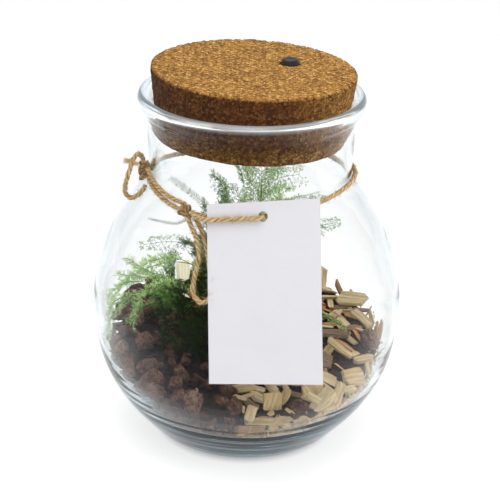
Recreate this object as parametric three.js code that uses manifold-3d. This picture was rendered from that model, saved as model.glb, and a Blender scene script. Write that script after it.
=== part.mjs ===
// A closed glass terrarium: a round blown jar with a flared lip, a cork stopper that holds a small
// lamp and its push button, a bed of lava rock and wood chips round a root ball, a lace fern, and
// a jute twine round the neck with a blank hang tag. Millimetres, +Z up. The origin is the centre
// of the jar's flat base, on the surface it stands on, and the tag hangs on the -Y side.
import * as THREE from "three";
import { mergeVertices } from "three/addons/utils/BufferGeometryUtils.js";
import Module from "manifold-3d";

// ---------- driving dimensions ----------
const GAP = 0.3; // play between pieces that rest on each other

const JAR_SEGMENTS = 36;
const JAR_STEPS = 18; // along the outline
const BED_SEGMENTS = 18; // of the rock and chips inside it
const BASE_RADIUS = 41;
// outside of the jar from the foot to the top of the neck, [radius, height]
const JAR_OUTLINE = [
  [47.6, 3.6],
  [53.6, 9.1],
  [66.6, 25],
  [76.2, 45],
  [80, 72],
  [77.4, 93],
  [70.4, 112],
  [60.5, 129],
  [53.6, 138.5],
  [51.7, 146],
  [52.2, 158],
  [52.2, 170],
];
// the flared lip from the outside of the neck over the rim to the throat
const LIP_OUTLINE = [
  [53.2, 174.6],
  [55.7, 178.4],
  [57.3, 182.6],
  [56.4, 185.4],
  [54.4, 186],
  [52.6, 184.4],
  [51.2, 181],
  [50.1, 177],
];
const WALL = 2.5; // thickness of the glass at the belly and the neck
const BASE_EXTRA = 7.1; // what the base has on top of that
const BASE_FADE = 12; // height over which the thick base fades out

const THROAT_Z = 174; // where the stopper wedges
const CORK_TOP_RADIUS = 52;
const CORK_BOTTOM_RADIUS = 48;
const CORK_ABOVE = 24; // from the throat to the cork's top
const CORK_BELOW = 11; // from the throat to the cork's underside
const CORK_EDGE = 0.8; // chamfer of the cork's edges
const CORK_TILT = 1.8; // degrees, the cork sits lower on the +X side
const CORK_SEGMENTS = 36;

const BUTTON_X = 17.8;
const BUTTON_Y = 11;
const BUTTON_BASE_RADIUS = 4.8;
const BUTTON_TOP_RADIUS = 3.7;
const BUTTON_RISE = 2.2; // how far it stands out of the cork
const BUTTON_SKIRT = 3; // how deep its skirt sits in the counterbore
const BUTTON_STEM_RADIUS = 2.2;
const BUTTON_TIP_RADIUS = 1.2; // the tip that works the switch
const BUTTON_TRAVEL = 1;
const BUTTON_PLAY = 0.4;

const LAMP_RADIUS = 28; // the housing, set into the underside of the cork
const LAMP_DEPTH = 14;
const LAMP_WALL = 1.5;
const DIFFUSER_THICKNESS = 2;
const BOARD_THICKNESS = 1.6;
const BOARD_DROP = 7.2; // from the inside of the housing's roof to the board
const LED_COUNT = 6;
const LED_CIRCLE = 16;
const CELL_RADIUS = 12.25;
const CELL_HEIGHT = 5;
const SWITCH_SIZE = 6;
const SWITCH_HEIGHT = 5.6;

const TWINE_DIAMETER = 2.4;
const TWINE_SIDES = 8;
const TWINE_STAND = TWINE_DIAMETER / 2 + GAP + 0.1; // from the glass to the middle of the twine

const TAG_THICKNESS = 0.5;
const TAG_TOP_Y = -53.2; // the card at TAG_TOP_Z, where it leans on the neck
const TAG_TOP_Z = 147.5;
const TAG_LEAN = 0.54; // how fast it leaves the neck on its way down
const TAG_BEND = 0.0007; // and how it bends back towards the belly
const TAG_STEPS = 12; // along its bend
const TAG_LEFT_TOP = [-20.2, 145.6]; // its corners, [x, z]
const TAG_RIGHT_TOP = [34, 149.5];
const TAG_LEFT_BOTTOM = [-16.8, 68.5];
const TAG_RIGHT_BOTTOM = [37.6, 69.5];
const TAG_HOLE = [6.8, 141.2];
const TAG_HOLE_RADIUS = 2.3;

const BED_HEIGHT = 51; // of the rock and chips at the middle of the jar
const BED_SLOPE = 7; // degrees, the bed rises towards the back
const BED_SPLIT_X = -1.5; // lava rock on the -X side of this, wood chips on the other
const BALL_CENTRE = [0, 5];
const BALL_TOP_RADIUS = 27;
const BALL_BOTTOM_RADIUS = 21;
const BALL_TOP_Z = 52;

const GLASS = new THREE.MeshStandardMaterial({
  color: 0xe4eef0,
  roughness: 0.05,
  metalness: 0,
  transparent: true,
  opacity: 0.3,
});
const CORK = new THREE.MeshStandardMaterial({ color: 0xb98046, roughness: 0.9, metalness: 0 });
const BUTTON_RUBBER = new THREE.MeshStandardMaterial({ color: 0x1c1f23, roughness: 0.5 });
const LAMP_PLASTIC = new THREE.MeshStandardMaterial({ color: 0xe9e8e3, roughness: 0.45 });
const DIFFUSER = new THREE.MeshStandardMaterial({ color: 0xf5f3ea, roughness: 0.6 });
const BOARD = new THREE.MeshStandardMaterial({ color: 0x2c6b3f, roughness: 0.5 });
const STEEL = new THREE.MeshStandardMaterial({ color: 0xb8bbbd, roughness: 0.3, metalness: 1 });
const CARD = new THREE.MeshStandardMaterial({ color: 0xe9e8ee, roughness: 0.8 });
const JUTE = new THREE.MeshStandardMaterial({ color: 0xb08a4e, roughness: 0.95 });
const SOIL = new THREE.MeshStandardMaterial({ color: 0x2b211a, roughness: 1 });
const LAVA = new THREE.MeshStandardMaterial({ color: 0x5a4440, roughness: 1 });
const CHIP = new THREE.MeshStandardMaterial({ color: 0xc6a56c, roughness: 0.85 });
const FERN = new THREE.MeshStandardMaterial({ color: 0x4d7f35, roughness: 0.7 });

// ---------- helpers ----------
const wasm = await Module();
wasm.setup();

const radians = THREE.MathUtils.degToRad;
const terrarium = new THREE.Group();

// a closed geometry as a solid
function solid(geometry) {
  const bare = geometry.clone();
  bare.deleteAttribute("normal");
  bare.deleteAttribute("uv");
  const merged = mergeVertices(bare, 1e-4);
  return new wasm.Manifold(
    new wasm.Mesh({
      numProp: 3,
      vertProperties: merged.attributes.position.array,
      triVerts: new Uint32Array(merged.index.array),
    }),
  );
}

// a solid as a flat-shaded geometry
function geometryOf(body) {
  const mesh = body.getMesh();
  const indexed = new THREE.BufferGeometry();
  indexed.setAttribute("position", new THREE.BufferAttribute(mesh.vertProperties, 3));
  indexed.setIndex(new THREE.BufferAttribute(mesh.triVerts, 1));
  const flat = indexed.toNonIndexed();
  flat.computeVertexNormals();
  return flat;
}

function addMesh(name, geometry, material, group = terrarium) {
  const mesh = new THREE.Mesh(geometry, material);
  mesh.name = name;
  group.add(mesh);
  return mesh;
}

// a profile of [radius, height] points turned about Z
function turned(profile, segments) {
  const points = profile.map(([radius, height]) => new THREE.Vector2(radius, height));
  return new THREE.LatheGeometry(points, segments).rotateX(Math.PI / 2);
}

// a cylinder or cone from one height to another, about Z
function rod(bottomRadius, topRadius, fromZ, toZ, segments = 24) {
  const height = toZ - fromZ;
  const shape = new THREE.CylinderGeometry(topRadius, bottomRadius, height, segments);
  return shape.rotateX(Math.PI / 2).translate(0, 0, (fromZ + toZ) / 2);
}

function smooth(outline, steps) {
  const curve = new THREE.SplineCurve(outline.map(([x, y]) => new THREE.Vector2(x, y)));
  return curve.getSpacedPoints(steps).map((point) => [point.x, point.y]);
}

// repeatable number from 0 to 1 for the unevenness of rocks and chips
function unevenness(seed) {
  const value = Math.sin(seed * 127.1 + 311.7) * 43758.5453;
  return value - Math.floor(value);
}

function tube(points, radius, sides, steps) {
  const route = new THREE.CatmullRomCurve3(points, false, "centripetal");
  const section = new THREE.Shape();
  for (let side = 0; side < sides; side += 1) {
    const turn = (side / sides) * Math.PI * 2;
    const x = Math.cos(turn) * radius;
    const y = Math.sin(turn) * radius;
    if (side === 0) section.moveTo(x, y);
    else section.lineTo(x, y);
  }
  section.closePath();
  return new THREE.ExtrudeGeometry(section, { extrudePath: route, steps });
}

// ---------- the jar ----------
const jarSide = smooth([[BASE_RADIUS, 0], ...JAR_OUTLINE], JAR_STEPS);

// radius of the outside of the jar at a height
function jarRadius(height) {
  const above = jarSide.findIndex(([, z]) => z >= height);
  const [lowRadius, low] = jarSide[Math.max(above - 1, 0)];
  const [highRadius, high] = jarSide[above];
  return lowRadius + ((highRadius - lowRadius) * (height - low)) / Math.max(high - low, 1e-6);
}

// the inside of the glass, from the throat down to the middle of the floor
function jarInside(clearance) {
  const inside = jarSide.map(([radius, height], index) => {
    const [beforeRadius, before] = jarSide[Math.max(index - 1, 0)];
    const [afterRadius, after] = jarSide[Math.min(index + 1, jarSide.length - 1)];
    const along = index === 0 ? [1, 0] : [afterRadius - beforeRadius, after - before];
    const length = Math.hypot(...along);
    const thickness = WALL + BASE_EXTRA * Math.exp(-height / BASE_FADE) + clearance;
    const inward = [-along[1] / length, along[0] / length];
    return [radius + inward[0] * thickness, height + inward[1] * thickness];
  });
  const floor = inside[0][1];
  return [[0, floor], ...inside].reverse();
}

function makeJar() {
  const lip = smooth([jarSide.at(-1), ...LIP_OUTLINE, jarInside(0)[0]], 10).slice(1, -1);
  const profile = [[0, 0], ...jarSide, ...lip, ...jarInside(0)];
  return turned(profile, JAR_SEGMENTS);
}

// the space inside the glass up to a height, kept clear of the wall
function insideOfJar(topZ) {
  const wall = jarInside(GAP + 0.1).filter(([, height]) => height < topZ);
  const profile = [...wall.reverse(), [0, wall.at(-1)[1]]];
  return solid(turned(profile, BED_SEGMENTS));
}

// ---------- the stopper and its lamp ----------
const stopper = new THREE.Group();
stopper.position.set(0, 0, THROAT_Z);
stopper.rotation.y = radians(CORK_TILT);
terrarium.add(stopper);

const housingRoof = LAMP_DEPTH - CORK_BELOW - GAP; // outside of the housing's roof
const roofInside = housingRoof - LAMP_WALL;
const boardTop = roofInside - BOARD_DROP;
const switchTop = boardTop + GAP + SWITCH_HEIGHT;

function coneRadius(height) {
  const share = (height + CORK_BELOW) / (CORK_ABOVE + CORK_BELOW);
  return CORK_BOTTOM_RADIUS + (CORK_TOP_RADIUS - CORK_BOTTOM_RADIUS) * share;
}

function makeCork() {
  const recess = LAMP_RADIUS + GAP;
  const profile = [
    [0, LAMP_DEPTH - CORK_BELOW],
    [recess, LAMP_DEPTH - CORK_BELOW],
    [recess, -CORK_BELOW],
    [coneRadius(-CORK_BELOW) - CORK_EDGE, -CORK_BELOW],
    [coneRadius(CORK_EDGE - CORK_BELOW), CORK_EDGE - CORK_BELOW],
    [coneRadius(CORK_ABOVE - CORK_EDGE), CORK_ABOVE - CORK_EDGE],
    [coneRadius(CORK_ABOVE) - CORK_EDGE, CORK_ABOVE],
    [0, CORK_ABOVE],
  ];
  const counterboreRadius = BUTTON_BASE_RADIUS + BUTTON_PLAY;
  const counterboreFloor = CORK_ABOVE - BUTTON_SKIRT - BUTTON_TRAVEL - GAP;
  const counterbore = rod(counterboreRadius, counterboreRadius, counterboreFloor, CORK_ABOVE + 1);
  const boreRadius = BUTTON_STEM_RADIUS + BUTTON_PLAY;
  const bore = rod(boreRadius, boreRadius, housingRoof - 1, CORK_ABOVE);
  const holes = solid(counterbore).add(solid(bore)).translate([BUTTON_X, BUTTON_Y, 0]);
  return geometryOf(solid(turned(profile, CORK_SEGMENTS)).subtract(holes));
}

function makeButton() {
  const tipBottom = switchTop - 0.8;
  const shoulder = switchTop + BUTTON_TRAVEL + GAP;
  const top = CORK_ABOVE + BUTTON_RISE;
  const profile = [
    [0, tipBottom],
    [BUTTON_TIP_RADIUS, tipBottom],
    [BUTTON_TIP_RADIUS, shoulder],
    [BUTTON_STEM_RADIUS, shoulder],
    [BUTTON_STEM_RADIUS, CORK_ABOVE - BUTTON_SKIRT],
    [BUTTON_BASE_RADIUS, CORK_ABOVE - BUTTON_SKIRT],
    [BUTTON_BASE_RADIUS, CORK_ABOVE],
    [BUTTON_TOP_RADIUS + 0.4, top - 0.3],
    [BUTTON_TOP_RADIUS, top],
    [0, top],
  ];
  return turned(profile, 18).translate(BUTTON_X, BUTTON_Y, 0);
}

function makeHousing() {
  const mouth = -CORK_BELOW - GAP;
  const profile = [
    [0, roofInside],
    [LAMP_RADIUS - LAMP_WALL, roofInside],
    [LAMP_RADIUS - LAMP_WALL, mouth],
    [LAMP_RADIUS, mouth],
    [LAMP_RADIUS, housingRoof],
    [0, housingRoof],
  ];
  const holeRadius = BUTTON_STEM_RADIUS + BUTTON_PLAY;
  const hole = rod(holeRadius, holeRadius, roofInside - 1, housingRoof + 1);
  const cut = solid(hole).translate([BUTTON_X, BUTTON_Y, 0]);
  return geometryOf(solid(turned(profile, 40)).subtract(cut));
}

function makeDiffuser() {
  const radius = LAMP_RADIUS - LAMP_WALL - GAP;
  const bottom = -CORK_BELOW;
  return rod(radius, radius, bottom, bottom + DIFFUSER_THICKNESS, 40);
}

function makeBoard() {
  const radius = LAMP_RADIUS - LAMP_WALL - GAP;
  let board = solid(rod(radius, radius, boardTop - BOARD_THICKNESS, boardTop, 40));
  for (let index = 0; index < LED_COUNT; index += 1) {
    const turn = (index / LED_COUNT) * Math.PI * 2;
    const led = new THREE.BoxGeometry(3.5, 3.5, 1);
    led.rotateZ(turn);
    led.translate(
      Math.cos(turn) * LED_CIRCLE,
      Math.sin(turn) * LED_CIRCLE,
      boardTop - BOARD_THICKNESS - 0.4,
    );
    board = board.add(solid(led));
  }
  return geometryOf(board);
}

function makeSwitch() {
  const body = new THREE.BoxGeometry(SWITCH_SIZE, SWITCH_SIZE, SWITCH_HEIGHT);
  body.translate(0, 0, switchTop - SWITCH_HEIGHT / 2);
  const wellRadius = BUTTON_TIP_RADIUS + GAP;
  const well = rod(wellRadius, wellRadius, switchTop - 2.4, switchTop + 1);
  const made = solid(body).subtract(solid(well));
  return geometryOf(made.translate([BUTTON_X, BUTTON_Y, 0]));
}

function makeCell() {
  const bottom = boardTop + GAP;
  return rod(CELL_RADIUS, CELL_RADIUS, bottom, bottom + CELL_HEIGHT, 32).translate(-8, -6, 0);
}

// ---------- the rock, the chips and the root ball ----------
function bedSpace() {
  const slab = new THREE.BoxGeometry(200, 200, 100);
  slab.translate(0, 0, -50);
  slab.rotateX(radians(BED_SLOPE));
  slab.translate(0, 0, BED_HEIGHT);
  return insideOfJar(80).intersect(solid(slab));
}

function halfSpace(fromX, toX) {
  const block = new THREE.BoxGeometry(toX - fromX, 200, 200);
  return solid(block.translate((fromX + toX) / 2, 0, 0));
}

function rootBall(clearance) {
  const [x, y] = BALL_CENTRE;
  const bottom = jarInside(GAP).at(-1)[1];
  const low = bottom - clearance;
  const high = BALL_TOP_Z + clearance * 20;
  const profile = [
    [0, low],
    [BALL_BOTTOM_RADIUS + clearance, low],
    [BALL_BOTTOM_RADIUS + 3 + clearance, low + 4],
    [BALL_TOP_RADIUS + clearance, BALL_TOP_Z - 8],
    [BALL_TOP_RADIUS - 2 + clearance, BALL_TOP_Z - 2],
    [BALL_TOP_RADIUS - 8 + clearance, high],
    [0, high],
  ];
  return solid(turned(profile, 28)).translate([x, y, 0]);
}

// one porous rock: a ball with an uneven surface
function rock(size, seed) {
  const ball = mergeVertices(bareBall());
  const places = ball.attributes.position;
  for (let index = 0; index < places.count; index += 1) {
    const reach = 0.78 + 0.34 * unevenness(seed * 53 + index * 7);
    places.setXYZ(
      index,
      places.getX(index) * reach * size[0] * 0.5,
      places.getY(index) * reach * size[1] * 0.5,
      places.getZ(index) * reach * size[2] * 0.5,
    );
  }
  return ball.rotateZ(unevenness(seed) * 6);
}

function bareBall() {
  const ball = new THREE.IcosahedronGeometry(1, 1);
  ball.deleteAttribute("normal");
  ball.deleteAttribute("uv");
  return ball;
}

// one split wood chip: a thin slab with cut corners
function chip(size, seed) {
  const [length, width, thickness] = size;
  const skew = (unevenness(seed * 3) - 0.5) * width * 0.5;
  const nick = width * (0.15 + 0.2 * unevenness(seed * 5));
  const outline = new THREE.Shape([
    new THREE.Vector2(-length / 2, -width / 2 + nick),
    new THREE.Vector2(-length / 2 + nick + skew * 0.3, -width / 2),
    new THREE.Vector2(length / 2 - nick * 0.4, -width / 2 + skew * 0.2),
    new THREE.Vector2(length / 2, width / 2 - nick),
    new THREE.Vector2(length / 2 - nick - skew * 0.4, width / 2),
    new THREE.Vector2(-length / 2 + nick * 0.5, width / 2 - Math.abs(skew) * 0.4),
  ]);
  const slab = new THREE.ExtrudeGeometry(outline, { depth: thickness, bevelEnabled: false });
  return slab.translate(0, 0, -thickness / 2);
}

// on the bed at x and y, its middle a little above the bed's surface
function onBed(x, y, rise) {
  return new THREE.Vector3(x, y, BED_HEIGHT + y * Math.tan(radians(BED_SLOPE)) + rise);
}

// against the glass at an azimuth and a height, its middle a distance in from the wall
function againstGlass(azimuth, height, inwards) {
  const wall = jarInside(GAP).find(([, z]) => z <= height);
  const turn = radians(azimuth);
  const radius = wall[0] - inwards;
  return new THREE.Vector3(Math.cos(turn) * radius, Math.sin(turn) * radius, height);
}

// lava rocks that are picked out of the bed: place, size and seed
const LAVA_ROCKS = [
  { at: againstGlass(-125, 36, 4), size: [12, 12, 11], seed: 1 },
  { at: againstGlass(-112, 42, 5), size: [11, 11, 17], seed: 2 },
  { at: onBed(-34, -47, 0), size: [8, 8, 10], seed: 3 },
  { at: againstGlass(-144, 36, 3.5), size: [10, 10, 9], seed: 4 },
  { at: onBed(-49.5, -34, 1), size: [15, 10, 8], seed: 5 },
  { at: onBed(-53, -14, 2), size: [11, 12, 14], seed: 6 },
  { at: againstGlass(-165, 46, 4), size: [10, 12, 16], seed: 7 },
  { at: againstGlass(-94, 44.5, 4.5), size: [11, 10, 11], seed: 8 },
  { at: againstGlass(-97, 31, 3.5), size: [8, 8, 9], seed: 9 },
  { at: onBed(-60, 9, 2), size: [13, 13, 12], seed: 10 },
  { at: onBed(-51, 36, 3), size: [18, 16, 14], seed: 11 },
  { at: onBed(-36, 3, 2.5), size: [14, 15, 13], seed: 12 },
  // two dark rocks that lie among the chips
  { at: againstGlass(-67, 41, 4), size: [12, 12, 12], seed: 13 },
  { at: onBed(65.5, -4, 1), size: [10, 12, 11], seed: 14 },
];

// wood chips that are picked out of the bed: place, size, seed, and turns about X, Y and Z
const WOOD_CHIPS = [
  { at: onBed(58, 36, 2.5), size: [18, 10, 2.6], seed: 21, turn: [20, -8, -28] },
  { at: onBed(40, 50, 5), size: [10, 13, 2.8], seed: 22, turn: [74, 0, 8] },
  { at: onBed(63, 15, 1.6), size: [19, 5, 2.2], seed: 23, turn: [20, 10, -58] },
  { at: onBed(46, 0, 1.2), size: [18, 5, 2.4], seed: 24, turn: [12, 4, 6] },
  { at: onBed(49.5, -14.5, 2.4), size: [17, 4, 2.2], seed: 25, turn: [20, 12, -42] },
  { at: onBed(61, -21.5, 0.8), size: [11, 6, 3], seed: 26, turn: [10, -6, 8] },
  { at: onBed(39, -22, 0), size: [13, 12, 2.8], seed: 27, turn: [24, 0, 4] },
  { at: onBed(55, -36.5, 0), size: [13, 9, 2.4], seed: 28, turn: [38, 8, 30] },
  { at: onBed(34, -46.5, -1), size: [13, 13, 2.8], seed: 29, turn: [50, -6, 30] },
  { at: onBed(46.5, -50, -2.6), size: [15, 5, 2.4], seed: 30, turn: [58, -70, 40] },
  { at: againstGlass(-83, 35.5, 1.6), size: [15, 4.6, 2.4], seed: 31, turn: [58, 4, 6] },
  { at: againstGlass(-87, 27, 1.6), size: [16, 4, 2.4], seed: 32, turn: [48, -5, 3] },
  { at: onBed(14, -60, 0), size: [10, 10, 2.4], seed: 33, turn: [66, 0, 14] },
];

// the pale ribbed chip that stands at the back, among the fern
const RIBBED_CHIP = {
  at: onBed(-36, 55, 5.6),
  size: [8, 10, 2.4],
  ribs: 4,
  lean: [78, 0, 34],
};

function placed(geometry, at, turn = [0, 0, 0]) {
  const angles = new THREE.Euler(...turn.map(radians), "ZYX");
  geometry.applyMatrix4(new THREE.Matrix4().makeRotationFromEuler(angles));
  return geometry.translate(at.x, at.y, at.z);
}

function ribbedChip(clearance) {
  const [width, height, thickness] = RIBBED_CHIP.size.map((side) => side + clearance * 2);
  let made = solid(new THREE.BoxGeometry(width, height, thickness * 0.6));
  for (let rib = 0; rib < RIBBED_CHIP.ribs; rib += 1) {
    const x = ((rib + 0.5) / RIBBED_CHIP.ribs - 0.5) * width;
    const radius = (width / RIBBED_CHIP.ribs) * 0.46;
    const bar = new THREE.CylinderGeometry(radius, radius, height * 0.98, 8);
    made = made.add(solid(bar.translate(x, 0, thickness * 0.3)));
  }
  return solid(placed(geometryOf(made), RIBBED_CHIP.at, RIBBED_CHIP.lean));
}

function twoDigits(number) {
  return String(number).padStart(2, "0");
}

// the pieces of the bed: loose ones first, then what is left of the bed round them
function addBed() {
  const room = insideOfJar(80);
  const grow = (size) => size.map((side) => side + 2 * (GAP + 0.1));
  const pockets = [];
  LAVA_ROCKS.forEach(({ at, size, seed }, index) => {
    const piece = solid(placed(rock(size, seed), at)).intersect(room);
    addMesh(`lava_rock_${twoDigits(index + 1)}`, geometryOf(piece), LAVA);
    pockets.push(solid(placed(rock(grow(size), seed), at)));
  });
  WOOD_CHIPS.forEach(({ at, size, seed, turn }, index) => {
    const piece = solid(placed(chip(size, seed), at, turn)).intersect(room);
    addMesh(`wood_chip_${twoDigits(index + 1)}`, geometryOf(piece), CHIP);
    pockets.push(solid(placed(chip(grow(size), seed), at, turn)));
  });
  addMesh("ribbed_wood_chip", geometryOf(ribbedChip(0)), CHIP);
  pockets.push(ribbedChip(GAP));

  const pocket = pockets.reduce((all, one) => all.add(one));
  const ball = rootBall(0).subtract(pocket);
  const bed = bedSpace().subtract(rootBall(GAP)).subtract(pocket);
  const lava = bed.intersect(halfSpace(-200, BED_SPLIT_X - GAP / 2));
  const chips = bed.intersect(halfSpace(BED_SPLIT_X + GAP / 2, 200));
  addMesh("root_ball", geometryOf(ball), SOIL);
  addMesh("lava_bed", geometryOf(biggest(lava)), LAVA);
  addMesh("chip_bed", geometryOf(biggest(chips)), CHIP);
}

// the largest body of a cut solid, without the slivers that a cut leaves
function biggest(body) {
  const bodies = body.decompose();
  return bodies.reduce((best, one) => (one.volume() > best.volume() ? one : best));
}

// ---------- the fern ----------
const STEM_RADIUS = 0.7;
const TWIG_RADIUS = 0.45;
const CROWN = new THREE.Vector3(-2, 4, BALL_TOP_Z + GAP);
const CROWN_RADIUS = 9;

// each frond's stem by hand, from above the crown to its tip, with the spread of its twigs and
// the direction in which the flat spray opens
const FRONDS = [
  {
    name: "fern_frond_top",
    stem: [[1, 2, 82], [4, -1, 110], [6, -1, 132], [6, 5, 143], [4, 22, 150]],
    spread: 20,
    open: [1, 0, -0.1],
  },
  {
    name: "fern_frond_right",
    stem: [[7, 2, 84], [13, -2, 110], [17, -4, 125], [25, -5, 129.5], [36, -6, 132]],
    spread: 6,
    open: [0.1, 0.7, 0.7],
  },
  {
    name: "fern_frond_low_right",
    stem: [[9, 10, 80], [18, 14, 98], [30, 13, 107], [46, 11, 112]],
    spread: 6,
    open: [-0.1, 0.8, 0.5],
  },
  {
    name: "fern_frond_back",
    stem: [[2, 18, 80], [0, 30, 98], [-8, 40, 110], [-16, 44, 118]],
    spread: 14,
    open: [1, 0.3, 0],
  },
  {
    name: "fern_frond_left",
    stem: [[-12, 12, 82], [-20, 10, 100], [-29, 6, 113], [-39, 3, 112], [-52, 3, 114]],
    spread: 6,
    open: [0, 1, 0.3],
  },
  {
    name: "fern_frond_wall",
    stem: [[-16, 8, 72], [-26, 2, 88], [-42, -6, 94], [-57, -10, 89], [-66, -12, 80], [-70, -13, 69]],
    spread: 11,
    open: [0, 0.9, 0.4],
  },
  {
    name: "fern_frond_mid_left",
    stem: [[-15, -1, 76], [-22, -4, 93], [-30, -5, 103], [-42, -6, 105], [-53, -7, 104]],
    spread: 8,
    open: [0, 1, 0.3],
  },
  {
    name: "fern_frond_low_left",
    stem: [[-14, -9, 63], [-25, -19, 74], [-40, -31, 82], [-51, -38, 83], [-58, -41, 76]],
    spread: 9,
    open: [0.5, -0.7, 0.5],
  },
  {
    name: "fern_frond_middle",
    stem: [[-9, -13, 62], [-15, -21, 74], [-20, -28, 88], [-24, -32, 101]],
    spread: 12,
    open: [0.9, -0.2, 0],
  },
  {
    name: "fern_frond_left_tip",
    stem: [[-7, -6, 86], [-11, -9, 112], [-11.5, -11, 130], [-14, -11, 140], [-19, -12, 147]],
    spread: 7,
    open: [0.8, 0.2, 0.5],
  },
  {
    name: "fern_frond_high_left",
    stem: [[-9, 4, 88], [-15, -1, 110], [-21, -6, 126], [-30, -7, 134], [-40, -7, 141]],
    spread: 5,
    open: [0.3, 0.9, 0.3],
  },
];

const TWIG_PAIRS = 3;

// one frond: a stem and its side twigs, as one piece
function makeFrond({ stem, spread, open }, index) {
  const turn = (index / FRONDS.length) * Math.PI * 2;
  const foot = new THREE.Vector3(
    CROWN.x + Math.cos(turn) * CROWN_RADIUS,
    CROWN.y + Math.sin(turn) * CROWN_RADIUS,
    CROWN.z + 2.2,
  );
  const route = [foot, ...stem.map((place) => new THREE.Vector3(...place))];
  const line = new THREE.CatmullRomCurve3(route, false, "centripetal");
  let frond = solid(tube(route, STEM_RADIUS, 4, 10));
  const side = new THREE.Vector3(...open).normalize();
  for (let pair = 0; pair < TWIG_PAIRS; pair += 1) {
    const share = 0.55 + (0.41 * pair) / (TWIG_PAIRS - 1);
    const root = line.getPointAt(share);
    const ahead = line.getTangentAt(share);
    const reach = spread * (0.55 + 0.45 * Math.sin(Math.PI * (0.25 + 0.6 * (pair / TWIG_PAIRS))));
    [-1, 1].forEach((hand) => {
      const out = side.clone().multiplyScalar(hand * reach);
      const tip = root.clone().add(out).addScaledVector(ahead, reach * 0.45);
      const middle = root.clone().lerp(tip, 0.5);
      middle.addScaledVector(ahead, -reach * 0.06);
      frond = frond.add(solid(tube([root, middle, tip], TWIG_RADIUS, 3, 2)));
    });
  }
  return geometryOf(biggest(frond));
}

// the crown: the woody clump at the top of the root ball that the stems grow from
function makeCrown() {
  const profile = [
    [0, 0],
    [CROWN_RADIUS + 3, 0],
    [CROWN_RADIUS + 1.6, 1.4],
    [0, 1.8],
  ];
  return turned(profile, 20).translate(CROWN.x, CROWN.y, CROWN.z);
}

// ---------- the twine and the tag ----------
// a point on the outside of the glass, stood off from it, by azimuth and height
function aroundJar(azimuth, height, stand = TWINE_STAND) {
  const turn = radians(azimuth);
  const radius = jarRadius(height) + stand;
  return new THREE.Vector3(Math.cos(turn) * radius, Math.sin(turn) * radius, height);
}

// the same by x and height, on the front of the jar
function onFront(x, height, stand = TWINE_STAND) {
  const radius = jarRadius(height) + stand;
  return new THREE.Vector3(x, -Math.sqrt(radius * radius - x * x), height);
}

const NECK_KNOT = aroundJar(-166, 147, 2.8);
const TAG_KNOT = aroundJar(-123, 139.6, 3.2);

// once round the neck, from the neck knot through the tag knot and back
const NECK_ROUTE = [
  aroundJar(-163, 144.6),
  aroundJar(-150, 141.6),
  aroundJar(-136, 139.4),
  aroundJar(-123, 138.4),
  aroundJar(-108, 138.6),
  aroundJar(-90, 139.6),
  aroundJar(-70, 141.4),
  aroundJar(-50, 143.4),
  aroundJar(-31, 144.8),
  aroundJar(-12, 145.2),
  aroundJar(8, 144),
  aroundJar(28, 141.6),
  aroundJar(50, 140.2),
  aroundJar(72, 139.8),
  aroundJar(95, 139.6),
  aroundJar(118, 139.6),
  aroundJar(140, 139.8),
  aroundJar(160, 141),
  aroundJar(176, 143.6),
  aroundJar(189, 146.4),
];

// the tied end, which runs beside it from one knot to the other
const TIED_ROUTE = [
  aroundJar(-164, 148.4),
  aroundJar(-156, 146),
  aroundJar(-144, 143.4),
  aroundJar(-133, 142),
  aroundJar(-125, 141.6),
];

// the loose loop at the neck knot, which stands off the jar and comes back under it
const LOOP_ROUTE = [
  new THREE.Vector3(-53.2, -13.9, 151.6),
  new THREE.Vector3(-54.2, -15.4, 155.4),
  new THREE.Vector3(-56, -19.4, 157.8),
  new THREE.Vector3(-57.9, -23.2, 156.2),
  new THREE.Vector3(-59.2, -24.7, 152.2),
  new THREE.Vector3(-60.6, -24.8, 147.2),
  new THREE.Vector3(-61.8, -24.2, 142.2),
  new THREE.Vector3(-61.5, -23.3, 138),
  new THREE.Vector3(-59.2, -22.2, 135.6),
  new THREE.Vector3(-56.2, -21.2, 136.4),
  new THREE.Vector3(-53.7, -21.1, 138.7),
  new THREE.Vector3(-51.9, -21.9, 141.9),
];

// the frayed end, which leaves the knot behind the loop
const FRAYED_ROUTE = [
  new THREE.Vector3(-56, -13.6, 150.2),
  new THREE.Vector3(-58.6, -14.6, 151.6),
  new THREE.Vector3(-61.4, -15.6, 152.6),
  new THREE.Vector3(-64.4, -16.2, 153.4),
];

// down from the tag knot, round behind the tag's edge and up again beside it
const HANGING_ROUTE = [
  onFront(-29.6, 137, 3.2),
  onFront(-28.2, 134.6, 3),
  onFront(-26.3, 131.8, 2.8),
  onFront(-24.6, 128.2, 2.5),
  onFront(-23.6, 124.2, 2.1),
  onFront(-23.7, 120, 1.7),
  onFront(-24.6, 115.8),
  onFront(-25.5, 111.4),
  onFront(-25.8, 107.2),
  onFront(-24.6, 103.9),
  onFront(-21.4, 102.5),
  onFront(-18.2, 104),
  onFront(-16.9, 107.4),
  onFront(-17, 111.2),
  onFront(-17.5, 115.2),
  onFront(-18.4, 119.6),
  onFront(-19.4, 124),
  onFront(-20.6, 128.1),
  onFront(-22.2, 131.9),
  onFront(-24.1, 134.8),
  onFront(-25.7, 136.8),
];

function cardY(height) {
  const drop = TAG_TOP_Z - height;
  return TAG_TOP_Y - TAG_LEAN * drop + TAG_BEND * drop * drop;
}

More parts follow.
